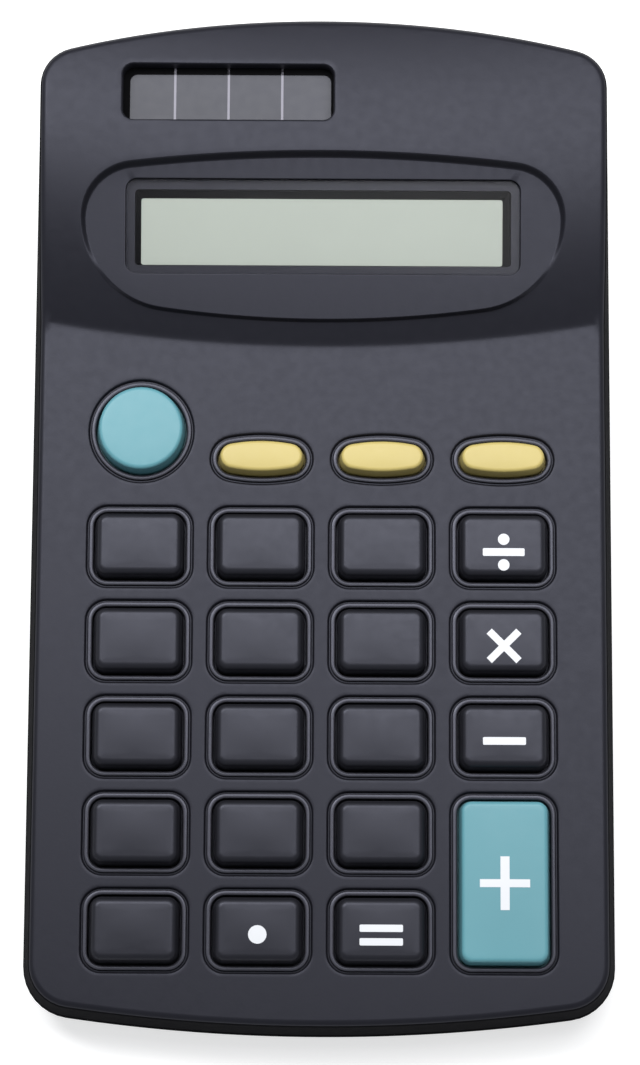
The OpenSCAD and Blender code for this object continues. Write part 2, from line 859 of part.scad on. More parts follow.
module keypad_mat() {
    base_r = 2.4;
    top_r = 1.6;
    skin = 0.6;
    front = row_y(4) - cap_d / 2 - 2.4;
    rear = round_row + round_d / 2 + 0.6;
    color([0.55, 0.57, 0.6])
        on_deck()
            difference() {
                union() {
                    translate([-pcb_w / 2 + 0.4, front, pcb_top])
                        cube([pcb_w - 0.8, rear - front, mat_t]);
                    for (p = key_places)
                        translate([p.x, p.y, mat_top - eps])
                            cylinder(r1 = base_r, r2 = top_r, h = dome_h + eps);
                }
                for (p = key_places)
                    translate([p.x, p.y, pcb_top - 0.5])
                        cylinder(r1 = base_r - skin + 0.2, r2 = top_r - skin, h = dome_h + mat_t - 0.3);
                for (p = pcb_screw_places)
                    translate([p.x, p.y, pcb_top - 1])
                        cylinder(r = pcb_boss_r + 0.2, h = mat_t + 2);
            }
}

module pcb_screws() {
    color([0.75, 0.75, 0.78])
        on_deck()
            for (p = pcb_screw_places)
                translate([p.x, p.y, pcb_low])
                    screw(pcb_screw_d, pcb_t + 2.4, 2.8, 0.6);
}

module case_screws() {
    color([0.3, 0.3, 0.32])
        for (x = [-1, 1]) {
            translate([x * case_screw_x, front_screw_y, front_seat_z])
                screw(case_screw_d, level_z(front_screw_y, -wall) - front_seat_z - 0.8,
                      2 * case_head_r, 1.3);
            translate([x * case_screw_x, rear_screw_y, rear_seat_z])
                screw(case_screw_d, 7, 2 * case_head_r, 1.3);
        }
}

// ---- Battery ----

module along_cell(from, r, l) {
    translate([from, cell_y, cell_z])
        rotate([0, 90, 0])
            cylinder(r = r, h = l);
}

module aaa_cell() {
    nub_l = 0.8;
    color([0.8, 0.62, 0.2])
        union() {
            along_cell(plus_x - cell_l, cell_d / 2, cell_l - nub_l);
            along_cell(plus_x - nub_l - eps, 1.9, nub_l + eps);
        }
}

// Plate across the end of the bay, with a tab that bends out over the bay's end wall.
module contact_plate(x, outward) {
    low_z = cell_z - cell_d / 2 + 0.6;
    tab_z = roof_z + bay_wall;
    translate([x, 0, 0])
        mirror([outward < 0 ? 1 : 0, 0, 0]) {
            translate([0, bay_front + 0.5, low_z])
                cube([plate_t, bay_d - 1, roof_z - low_z - 0.3]);
            translate([0, bay_front + 1.1, roof_z - 1])
                cube([plate_t, 2, tab_z - roof_z + 1 + plate_t]);
            translate([0, bay_front + 1.1, tab_z])
                cube([lead_x + 0.8 - abs(x), 2, plate_t]);
        }
}

module battery_plus_plate() {
    color([0.8, 0.8, 0.82])
        contact_plate(plus_x, 1);
}

module battery_minus_plate() {
    color([0.8, 0.8, 0.82])
        contact_plate(minus_x, -1);
}

module battery_spring() {
    turns = 3;
    steps = 14;
    wire_r = 0.3;
    wide_r = 3.8;
    narrow_r = 2.4;
    color([0.82, 0.82, 0.85])
        sweep([for (i = [0:turns * steps])
                  let (k = i / (turns * steps),
                       a = 360 * i / steps,
                       r = wide_r + (narrow_r - wide_r) * k,
                       x = minus_x + wire_r + k * (spring_l - 2 * wire_r))
                  [x, cell_y + r * cos(a), cell_z + r * sin(a)]],
              wire_r, [1, 0, 0]);
}

module battery_leads() {
    tab_z = roof_z + bay_wall + plate_t;
    lead_y = bay_front + 2.1;
    color([0.7, 0.1, 0.1])
        for (s = [-1, 1]) {
            x = s * lead_x;
            down_y = bay_front - 5.5;
            land = [s * (pcb_w / 2 - 1.6), down_y - 2.4];
            sweep(rounded_route([[x, lead_y, tab_z + lead_r],
                                 [x, down_y + 3, tab_z + lead_r],
                                 [x, down_y, tab_z - 1],
                                 [x, down_y - 2, lead_level],
                                 [land.x, land.y, lead_level - 0.8],
                                 [land.x, land.y, level_z(land.y, pcb_top) + part_gap]], 0.7),
                lead_r, [0, 0, 1]);
        }
}

// ---- Keys ----

key_black = [0.25, 0.25, 0.29];
key_teal = [0.44, 0.68, 0.74];
key_yellow = [0.86, 0.8, 0.42];
cap_draft = 0.3;
cap_bevel = 0.6;
cap_skin = 1.1;

// Side view of a cap: upright to the deck, drafted above it, with bevelled upper edges.
module cap_section(w) {
    a = w / 2;
    b = a - cap_draft;
    c = b - cap_bevel;
    polygon([[-a, key_rest - 1], [a, key_rest - 1], [a, 0.2], [b, cap_h - cap_bevel], [c, cap_h],
             [-c, cap_h], [-b, cap_h - cap_bevel], [-a, 0.2]]);
}

module drafted(w, d) {
    intersection() {
        translate([0, 0, key_rest - eps])
            linear_extrude(height = cap_h - key_rest + eps)
                children();
        rotate([90, 0, 0])
            translate([0, 0, -d])
                linear_extrude(height = 2 * d)
                    cap_section(w);
        rotate([90, 0, 90])
            translate([0, 0, -w])
                linear_extrude(height = 2 * w)
                    cap_section(d);
    }
}

module key_post() {
    translate([0, 0, post_low])
        cylinder(r = 1.3, h = cap_h - post_low - cap_skin / 2);
}

module flat_key(w, d) {
    difference() {
        union() {
            drafted(w, d)
                rounded_rect(w, d, cap_corner_r);
            block(w + 1.2, d + 1.2, 1.5, key_rest - flange_t, key_rest);
        }
        block(w - 2 * cap_skin, d - 2 * cap_skin, 0.9, key_rest - flange_t - 1, cap_h - cap_skin);
    }
    key_post();
}

module oval_key() {
    difference() {
        union() {
            drafted(cap_w, oval_d)
                key_oval(0);
            block(cap_w + 1.2, oval_d + 1.2, 1.5, key_rest - flange_t, key_rest);
        }
        block(cap_w - 3.4, oval_d - 1.6, 0.9, key_rest - flange_t - 1, cap_h - cap_skin);
    }
    key_post();
}

module disc_key() {
    r = round_d / 2;
    rotate_extrude($fn = 64)
        polygon([[0, post_low], [1.3, post_low], [1.3, cap_h - cap_skin], [r - cap_skin, cap_h - cap_skin],
                 [r - cap_skin, key_rest - flange_t], [r + 0.6, key_rest - flange_t], [r + 0.6, key_rest],
                 [r, key_rest], [r, 0.2], [r - cap_draft, cap_h - cap_bevel],
                 [r - cap_draft - cap_bevel, cap_h], [0, cap_h]]);
}

module at_key(place) {
    on_deck()
        translate([place.x, place.y, 0])
            children();
}

module black_key(column, row) {
    color(key_black)
        at_key([col_x(column), row_y(row)])
            flat_key(cap_w, cap_d);
}

module yellow_key(column) {
    color(key_yellow)
        at_key([col_x(column), oval_row])
            oval_key();
}

module key_on_clear() {
    color(key_teal)
        at_key(round_key)
            disc_key();
}

module key_add() {
    color(key_teal)
        at_key(tall_key)
            flat_key(cap_w, tall_d);
}

module key_memory_recall() { yellow_key(1); }
module key_memory_minus() { yellow_key(2); }
module key_memory_plus() { yellow_key(3); }
module key_sign() { black_key(0, 0); }
module key_root() { black_key(1, 0); }
module key_percent() { black_key(2, 0); }
module key_divide() { black_key(3, 0); }
module key_7() { black_key(0, 1); }
module key_8() { black_key(1, 1); }
module key_9() { black_key(2, 1); }
module key_multiply() { black_key(3, 1); }
module key_4() { black_key(0, 2); }
module key_5() { black_key(1, 2); }
module key_6() { black_key(2, 2); }
module key_subtract() { black_key(3, 2); }
module key_1() { black_key(0, 3); }
module key_2() { black_key(1, 3); }
module key_3() { black_key(2, 3); }
module key_0() { black_key(0, 4); }
module key_decimal_point() { black_key(1, 4); }
module key_equals() { black_key(2, 4); }

top_case();
bottom_case();
battery_door();
rubber_feet();
display_lens();
lcd_polarizer();
lcd_front_glass();
lcd_rear_glass();
lcd_reflector();
lcd_holder();
lcd_screws();
lcd_ribbon();
solar_cell();
solar_gasket();
solar_leads();
main_pcb();
controller_chip();
capacitor();
chip_components();
keypad_mat();
pcb_screws();
case_screws();
aaa_cell();
battery_spring();
battery_plus_plate();
battery_minus_plate();
battery_leads();
key_on_clear();
key_memory_recall();
key_memory_minus();
key_memory_plus();
key_sign();
key_root();
key_percent();
key_divide();
key_7();
key_8();
key_9();
key_multiply();
key_4();
key_5();
key_6();
key_subtract();
key_1();
key_2();
key_3();
key_0();
key_decimal_point();
key_equals();
key_add();
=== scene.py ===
"""Desk calculator: shells, key caps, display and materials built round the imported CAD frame."""
import json
import math

from functools import lru_cache

import bmesh
import bpy
import numpy as np
from mathutils import Matrix, Vector
from mathutils.geometry import delaunay_2d_cdt


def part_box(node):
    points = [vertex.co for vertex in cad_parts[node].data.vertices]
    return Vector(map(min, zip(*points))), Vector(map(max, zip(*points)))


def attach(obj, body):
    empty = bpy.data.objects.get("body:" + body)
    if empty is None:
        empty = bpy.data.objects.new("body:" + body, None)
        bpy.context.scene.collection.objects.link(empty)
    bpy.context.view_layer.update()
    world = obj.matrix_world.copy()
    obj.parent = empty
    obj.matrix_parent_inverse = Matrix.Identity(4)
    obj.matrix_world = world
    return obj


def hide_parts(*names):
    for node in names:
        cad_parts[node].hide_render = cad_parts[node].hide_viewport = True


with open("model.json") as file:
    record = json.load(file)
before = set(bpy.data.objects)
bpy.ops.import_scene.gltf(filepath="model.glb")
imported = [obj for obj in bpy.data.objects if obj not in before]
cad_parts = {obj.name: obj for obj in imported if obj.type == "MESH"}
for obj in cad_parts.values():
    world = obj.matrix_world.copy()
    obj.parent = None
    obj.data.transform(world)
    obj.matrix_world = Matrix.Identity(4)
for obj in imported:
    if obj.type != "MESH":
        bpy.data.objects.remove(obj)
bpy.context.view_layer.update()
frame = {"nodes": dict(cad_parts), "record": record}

# ---- Sizes, in millimetres, the same as in the CAD model ----

MM = 0.001
CASE_LOW, CASE_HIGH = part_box("bottom_case")
HALF_L = (CASE_HIGH[1] - CASE_LOW[1]) / 2 / MM
HALF_W = (CASE_HIGH[0] - CASE_LOW[0]) / 2 / MM
BASE_Z = CASE_LOW[2] / MM                 # underside of the bottom case, above the feet
FRONT_HEIGHT = 9.5
TILT = math.radians(3)
WALL = 1.8
FLOOR_Z = BASE_Z + 1.6
PARTING = 4.0                             # depth of the parting plane below the deck
REAR_ARC, FRONT_ARC = 120.0, 210.0
REAR_CORNER, FRONT_CORNER = 5.5, 6.0
HUMP_FRONT = HALF_L - 39.6
HUMP_HEIGHT, HUMP_CREST, HUMP_SWEEP = 6.85, 27.1, 190.0
HUMP_SECTION = (HUMP_CREST ** 2 + HUMP_HEIGHT ** 2) / (2 * HUMP_HEIGHT)
HUMP_REACH = 45                           # beyond this distance from its crest the hump has ended
HUMP_SOFTNESS = 0.16                      # how softly the hump runs into the deck
FACE_FRONT = HUMP_FRONT + 2.6             # lower edge of the display face
FACE_RISE = 2.0
FACE_SLOPE = math.radians(10.2)
FACE_HALF_W = 31                          # the sunk face and its wall end within this distance
LENS_W, LENS_D, LENS_T, LENS_S = 46.8, 11.2, 1.0, 11.2
WINDOW_W, WINDOW_D, WINDOW_S = 44.7, 9.0, 11.1
SOLAR_X, SOLAR_V, SOLAR_W, SOLAR_D = -11.35, HALF_L - 10.15, 25.1, 6.9
SOLAR_FACE = HUMP_HEIGHT - 2.05
SOLAR_MARGIN = 1.4
CAP_W, CAP_D, CAP_R, CAP_H = 10.4, 7.7, 1.4, 2.0
OVAL_D, ROUND_D = 4.0, 10.3
CLEARANCE, LEDGE = 0.2, 0.85
FLANGE_TOP = -WALL - 0.1
FLANGE_LOW = FLANGE_TOP - 0.8
FLANGE_OUT = 0.6
SHIFT = HALF_L * (1 - math.cos(TILT)) - PARTING * math.sin(TILT)


# ---- Frames ----

def deck(x, v, w):
    """Deck frame, in millimetres, to the row frame, in metres."""
    y = SHIFT - HALF_L + (v + HALF_L) * math.cos(TILT) - w * math.sin(TILT)
    z = FRONT_HEIGHT + (v + HALF_L) * math.sin(TILT) + w * math.cos(TILT)
    return Vector((x, y, z)) * MM


def row(x, y, z):
    """Row frame in millimetres to the row frame in metres."""
    return Vector((x, y, z)) * MM


def on_face(x, s, t):
    """Display face frame to the deck frame: s up the face, t out of it."""
    v = FACE_FRONT + s * math.cos(FACE_SLOPE) - t * math.sin(FACE_SLOPE)
    w = FACE_RISE + s * math.sin(FACE_SLOPE) + t * math.cos(FACE_SLOPE)
    return x, v, w


@lru_cache(maxsize=None)
def key_place(node):
    """Middle of a key in the deck frame, from its flange's box."""
    low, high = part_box(node)
    level = (FLANGE_TOP + FLANGE_LOW) / 2
    y = (low[1] + high[1]) / 2 / MM
    v = (y - SHIFT + HALF_L + level * math.sin(TILT)) / math.cos(TILT) - HALF_L
    return (low[0] + high[0]) / 2 / MM, v


# ---- Surfaces ----

def deck_height(x, v):
    """Outer surface of the top case: a flat deck that runs into the swept hump."""
    centre = HUMP_FRONT + HUMP_SWEEP
    d = math.hypot(x, v - centre) - (HUMP_SWEEP - HUMP_CREST)
    if abs(d) > HUMP_REACH:
        return 0.0
    hump = HUMP_HEIGHT - HUMP_SECTION + math.sqrt(HUMP_SECTION ** 2 - d * d)
    return (hump + math.sqrt(hump * hump + HUMP_SOFTNESS * HUMP_SOFTNESS)) / 2


def face_height(v):
    """Height of the plane of the display face over the deck."""
    return FACE_RISE + (v - FACE_FRONT) * math.tan(FACE_SLOPE)


def parting_z(y):
    """Height of the parting plane over the row frame's y, in millimetres."""
    start = deck(0, -HALF_L, -PARTING) / MM
    return start.z + (y - start.y) * math.tan(TILT)


# ---- Outlines, counter-clockwise lists of plan points ----

def arc(cx, cy, r, start, end, steps):
    """Points from the start angle to the end angle, with both ends."""
    turns = [start + (end - start) * i / steps for i in range(steps + 1)]
    return [(cx + r * math.cos(a), cy + r * math.sin(a)) for a in turns]


def circle(cx, cy, r, steps):
    return arc(cx, cy, r, 0, 2 * math.pi * (steps - 1) / steps, steps - 1)


def straight(a, b, steps):
    """Points between a and b, without either end."""
    return [(a[0] + (b[0] - a[0]) * i / steps, a[1] + (b[1] - a[1]) * i / steps)
            for i in range(1, steps)]


def both_halves(right):
    """Closes a right half that starts and ends on the middle line."""
    return right + [(-x, y) for x, y in reversed(right[1:-1])]


def case_outline(inset):
    """Plan of the case: arced front and rear edges, round corners and straight sides."""
    side_steps = 64
    front_r, rear_r = FRONT_ARC - inset, REAR_ARC - inset
    front_c, rear_c = max(FRONT_CORNER - inset, 1), max(REAR_CORNER - inset, 1)
    front_y0, rear_y0 = FRONT_ARC - HALF_L, HALF_L - REAR_ARC
    front_x, rear_x = HALF_W - inset - front_c, HALF_W - inset - rear_c
    front_y = front_y0 - math.sqrt((front_r - front_c) ** 2 - front_x ** 2)
    rear_y = rear_y0 + math.sqrt((rear_r - rear_c) ** 2 - rear_x ** 2)
    front_a = math.atan2(front_y - front_y0, front_x)
    rear_a = math.atan2(rear_y - rear_y0, rear_x)
    front = arc(0, front_y0, front_r, -math.pi / 2, front_a, 16)
    front += arc(front_x, front_y, front_c, front_a, 0, 8)[1:]
    rear = arc(rear_x, rear_y, rear_c, 0, rear_a, 8)
    rear += arc(0, rear_y0, rear_r, rear_a, math.pi / 2, 24)[1:]
    return both_halves(front + straight(front[-1], rear[0], side_steps) + rear)


def rounded_rect(w, d, r, corner_steps=6, w_steps=1, d_steps=1):
    """Rectangle with round corners and its long and short edges split into steps."""
    corners = [(1, -1, -90), (1, 1, 0), (-1, 1, 90), (-1, -1, 180)]
    points = []
    for i, (sx, sy, start) in enumerate(corners):
        turn = arc(sx * (w / 2 - r), sy * (d / 2 - r), r,
                   math.radians(start), math.radians(start + 90), corner_steps)
        nx, ny, _ = corners[(i + 1) % 4]
        start_angle = math.radians(start + 90)
        after = (nx * (w / 2 - r) + r * math.cos(start_angle),
                 ny * (d / 2 - r) + r * math.sin(start_angle))
        points += turn + straight(turn[-1], after, d_steps if i % 2 == 0 else w_steps)
    return points


def lens_outline(front, front_r, rear, rear_r, end_r, arc_steps, end_steps):
    """Two long arcs that bulge apart, closed by round ends."""
    front_c, rear_c = front + front_r, rear - rear_r
    a, b = front_r - end_r, rear_r - end_r
    y = (b * b - a * a + front_c ** 2 - rear_c ** 2) / (2 * (front_c - rear_c))
    x = math.sqrt(b * b - (y - rear_c) ** 2)
    front_a, rear_a = math.atan2(y - front_c, x), math.atan2(y - rear_c, x)
    right = arc(0, front_c, front_r, -math.pi / 2, front_a, arc_steps)
    right += arc(x, y, end_r, front_a, rear_a, end_steps)[1:]
    right += arc(0, rear_c, rear_r, rear_a, math.pi / 2, arc_steps)[1:]
    return both_halves(right)


def oval_outline(grow):
    """Plan of an oval key cap."""
    half_w, half_d = CAP_W / 2, OVAL_D / 2
    end_r = 0.42 * OVAL_D
    long_r = (half_w - end_r) ** 2 / (half_d - end_r) / 2
    return lens_outline(-half_d - grow, long_r + grow, half_d + grow, long_r + grow,
                        end_r + grow, 8, 12)


def display_outline(grow):
    """Oval in the plane of the display face: long front edge, two corners, long rear edge."""
    half_w, wide_s = 28.5, 12.1
    front, front_r, rear, rear_r = 0.1, 140.0, 19.7, 200.0

    def corner(reach, long_r):
        return (2 * reach * long_r - reach ** 2 - half_w ** 2) / (2 * (long_r - half_w))

    front_c, rear_c = corner(wide_s - front, front_r), corner(rear - wide_s, rear_r)
    front_a = math.atan2(wide_s - front - front_r, half_w - front_c)
    rear_a = math.atan2(wide_s - rear + rear_r, half_w - rear_c)
    right = arc(0, front + front_r, front_r + grow, -math.pi / 2, front_a, 28)
    right += arc(half_w - front_c, wide_s, front_c + grow, front_a, 0, 16)[1:]
    right += arc(half_w - rear_c, wide_s, rear_c + grow, 0, rear_a, 12)[1:]
    right += arc(0, rear - rear_r, rear_r + grow, rear_a, math.pi / 2, 28)[1:]
    return both_halves(right)


@lru_cache(maxsize=None)
def cap_outline(kind):
    """Function that gives a cap's outline, grown outward."""
    if kind == "round":
        return lambda grow: circle(0, 0, ROUND_D / 2 + grow, 48)
    if kind == "oval":
        return oval_outline
    low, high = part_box("key_add")
    flange_rise = 0.04                    # the tilted flange's thickness, seen in plan
    tall = (high[1] - low[1]) / MM / math.cos(TILT) - 2 * FLANGE_OUT - flange_rise
    d = tall if kind == "tall" else CAP_D
    return lambda grow: rounded_rect(CAP_W + 2 * grow, d + 2 * grow, max(CAP_R + grow, 0.3), 8)


# ---- Mesh building ----

def inside(points, loop):
    """Which of the points lie inside the closed loop."""
    p, a = np.asarray(points, float), np.asarray(loop, float)
    b = np.roll(a, -1, axis=0)
    x, y = p[:, None, 0], p[:, None, 1]
    crosses = (a[:, 1] > y) != (b[:, 1] > y)
    span = np.where(b[:, 1] == a[:, 1], 1e-12, b[:, 1] - a[:, 1])
    at = a[:, 0] + (y - a[:, 1]) * (b[:, 0] - a[:, 0]) / span
    return (crosses & (x < at)).sum(axis=1) % 2 == 1


def distance(points, loop):
    """Distance of each point from the closed loop."""
    p, a = np.asarray(points, float), np.asarray(loop, float)
    along = np.roll(a, -1, axis=0) - a
    rel = p[:, None, :] - a[None]
    t = np.clip((rel * along).sum(-1) / np.maximum((along ** 2).sum(-1), 1e-12), 0, 1)
    return np.linalg.norm(rel - t[..., None] * along[None], axis=-1).min(axis=1)


def keep_clear(points, outer, holes, gap):
    """Points inside outer and outside every hole, at least a gap away from each loop."""
    if not points:
        return []
    keep = inside(points, outer)
    for hole in holes:
        keep &= ~inside(points, hole)
    for loop in [outer] + list(holes):
        keep &= distance(points, loop) > gap
    return [p for p, k in zip(points, keep) if k]


class Shell:
    """A mesh built from rings and filled sheets, in one of the frames above."""

    def __init__(self, frame_of=deck):
        self.frame_of = frame_of
        self.points = []
        self.faces = []
        self.tones = {}                   # material index of each face that isn't in the first

    def ring(self, points):
        start = len(self.points)
        self.points += [tuple(p) for p in points]
        return list(range(start, len(self.points)))

    def band(self, a, b):
        n = len(a)
        for i in range(n):
            j = (i + 1) % n
            self.faces.append((a[i], a[j], b[j], b[i]))

    def rings(self, rows):
        """Adds each row of points as a ring, joined to the one before it."""
        made = [self.ring(points) for points in rows]
        for a, b in zip(made, made[1:]):
            self.band(a, b)
        return made

    def cap(self, ring):
        self.faces.append(tuple(ring))

    def sheet(self, outer, holes=(), inner=()):
        """Fills the area inside the outer ring and outside the holes, seen in plan."""
        loops = [outer] + list(holes)
        index = [i for loop in loops for i in loop]
        index += self.ring(inner)
        coords = [Vector(self.points[i][:2]) for i in index]
        edges, start = [], 0
        for loop in loops:
            n = len(loop)
            edges += [(start + i, start + (i + 1) % n) for i in range(n)]
            start += n
        out = delaunay_2d_cdt(coords, edges, [], 0, 1e-7)
        source = [index[originals[0]] for originals in out[3]]
        middles = [sum((out[0][i] for i in tri), Vector((0, 0))) / 3 for tri in out[2]]
        plan = [[self.points[i][:2] for i in loop] for loop in loops]
        keep = inside(middles, plan[0])
        for hole in plan[1:]:
            keep &= ~inside(middles, hole)
        for tri, wanted in zip(out[2], keep):
            if wanted:
                self.faces.append(tuple(source[i] for i in tri))

    def object(self, name, sharp=40):
        """Makes the Blender object, with edges steeper than sharp degrees crisp."""
        mesh = bpy.data.meshes.new(name)
        mesh.from_pydata([self.frame_of(*p) for p in self.points], [], self.faces)
        for i, tone in self.tones.items():
            mesh.polygons[i].material_index = tone
        obj = bpy.data.objects.new(name, mesh)
        bpy.context.scene.collection.objects.link(obj)
        clean(obj, sharp)
        return obj


def clean(obj, sharp=40):
    """Welds, turns the faces outward, and keeps only edges steeper than sharp degrees crisp."""
    bm = bmesh.new()
    bm.from_mesh(obj.data)
    bmesh.ops.remove_doubles(bm, verts=bm.verts, dist=0.5e-6)
    bmesh.ops.dissolve_degenerate(bm, edges=bm.edges, dist=0.5e-6)
    loose = [v for v in bm.verts if not v.link_faces]
    bmesh.ops.delete(bm, geom=loose, context="VERTS")
    bmesh.ops.recalc_face_normals(bm, faces=bm.faces)
    for face in bm.faces:
        face.smooth = True
    for edge in bm.edges:
        if len(edge.link_faces) == 2:
            edge.smooth = edge.calc_face_angle(0) < math.radians(sharp)
    bm.to_mesh(obj.data)
    bm.free()


def weighted(obj):
    """Keeps the large faces flat where they meet a rounded edge."""
    modifier = obj.modifiers.new("flat_faces", "WEIGHTED_NORMAL")
    modifier.keep_sharp = True
    modifier.weight = 100
    return obj


def finish_piece(obj, body, slot, *nodes):
    """Puts a piece on its body, in the material of its slot, in place of the CAD nodes named."""
    obj.data.materials.append(MATERIALS[slot])
    if nodes:
        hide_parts(*nodes)
    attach(obj, body)


def box_solid(name, low, high):
    """Plain cutter or filler block, in row millimetres."""
    shell = Shell(row)
    plan = [(low[0], low[1]), (high[0], low[1]), (high[0], high[1]), (low[0], high[1])]
    made = shell.rings([[(x, y, z) for x, y in plan] for z in (low[2], high[2])])
    shell.cap(made[0])
    shell.cap(made[1])
    return shell.object(name)


def drum(name, x, y, low, high, r, steps=40):
    """Plain upright cylinder, in row millimetres."""
    shell = Shell(row)
    made = shell.rings([[(px, py, z) for px, py in circle(x, y, r, steps)] for z in (low, high)])
    shell.cap(made[0])
    shell.cap(made[1])
    return shell.object(name)


def carve(obj, other, operation="DIFFERENCE"):
    """Combines two solids, keeps the result in obj and removes the other."""
    modifier = obj.modifiers.new("carve", "BOOLEAN")
    modifier.operation = operation
    modifier.solver = "MANIFOLD"
    modifier.object = other
    bpy.context.view_layer.update()
    result = obj.evaluated_get(bpy.context.evaluated_depsgraph_get())
    mesh = bpy.data.meshes.new_from_object(result)
    mesh.materials.clear()
    obj.modifiers.clear()
    old = obj.data
    obj.data = mesh
    bpy.data.meshes.remove(old)
    cutter_mesh = other.data
    bpy.data.objects.remove(other)
    bpy.data.meshes.remove(cutter_mesh)


def lathe(name, profile, to_row):
    """Turned solid: profile is a list of (radius, height), to_row places (x, y, height)."""
    steps = 48
    shell = Shell(to_row)
    turns = [2 * math.pi * i / steps for i in range(steps)]
    made = shell.rings([[(r * math.cos(a), r * math.sin(a), h) for a in turns] for r, h in profile])
    shell.cap(made[0])
    shell.cap(made[-1])
    return shell.object(name)


# ---- Materials ----

def srgb(r, g, b):
    """Display colour, 0 to 255, to a linear colour."""
    def linear(c):
        c /= 255
        return c / 12.92 if c <= 0.04045 else ((c + 0.055) / 1.055) ** 2.4
    return linear(r), linear(g), linear(b), 1.0


def scaled(colour, k):
    return tuple(min(c * k, 1) for c in colour[:3]) + (1.0,)


TONE_SCALE, ROUGHNESS_SCALE = 70, 900     # noise waves per metre
ROUGHNESS_SPREAD = 0.03
BUMP_DEPTH = 0.00002                      # metres
EDGE_START, EDGE_FULL = 0.52, 0.62        # how pointed an edge is where wear starts and is full
WORN_BRIGHTNESS = 2.2


def moulded(name, colour, rough, texture=2600, bump=0.06, variation=0.03, wear=0.25,
            specular=0.5, sheen=(1, 1, 1, 1), metallic=0.0, clear=0.0, alpha=1.0):
    """Moulded, coated or metal surface: fine texture, slow tone changes and polished edges."""
    mat = bpy.data.materials.new(name)
    mat.use_nodes = True
    tree = mat.node_tree
    nodes, links = tree.nodes, tree.links
    shader = nodes["Principled BSDF"]
    shader.inputs["Metallic"].default_value = metallic
    shader.inputs["Specular IOR Level"].default_value = specular
    shader.inputs["Specular Tint"].default_value = sheen
    shader.inputs["Transmission Weight"].default_value = clear
    shader.inputs["Alpha"].default_value = alpha
    coords = nodes.new("ShaderNodeTexCoord")

    def noise(scale, detail):
        node = nodes.new("ShaderNodeTexNoise")
        node.inputs["Scale"].default_value = scale
        node.inputs["Detail"].default_value = detail
        links.new(coords.outputs["Object"], node.inputs["Vector"])
        return node.outputs["Fac"]

    def mix(factor, a, b):
        node = nodes.new("ShaderNodeMix")
        node.data_type = "RGBA"
        links.new(factor, node.inputs["Factor"])
        for value, socket in ((a, node.inputs["A"]), (b, node.inputs["B"])):
            if isinstance(value, tuple):
                socket.default_value = value
            else:
                links.new(value, socket)
        return node.outputs["Result"]

    def remap(value, low, high, out_low, out_high):
        node = nodes.new("ShaderNodeMapRange")
        links.new(value, node.inputs["Value"])
        for socket, number in zip(("From Min", "From Max", "To Min", "To Max"),
                                  (low, high, out_low, out_high)):
            node.inputs[socket].default_value = number
        return node.outputs["Result"]

    tone = mix(remap(noise(TONE_SCALE, 3), 0.3, 0.7, 0, 1),
               scaled(colour, 1 - variation), scaled(colour, 1 + variation))
    geometry = nodes.new("ShaderNodeNewGeometry")
    edge = remap(geometry.outputs["Pointiness"], EDGE_START, EDGE_FULL, 0, wear)
    links.new(mix(edge, tone, scaled(colour, WORN_BRIGHTNESS)), shader.inputs["Base Color"])
    gloss = remap(noise(ROUGHNESS_SCALE, 2), 0.3, 0.7, rough - ROUGHNESS_SPREAD, rough + ROUGHNESS_SPREAD)
    links.new(gloss, shader.inputs["Roughness"])
    bumps = nodes.new("ShaderNodeBump")
    bumps.inputs["Strength"].default_value = bump
    bumps.inputs["Distance"].default_value = BUMP_DEPTH
    links.new(noise(texture, 2), bumps.inputs["Height"])
    links.new(bumps.outputs["Normal"], shader.inputs["Normal"])
    return mat


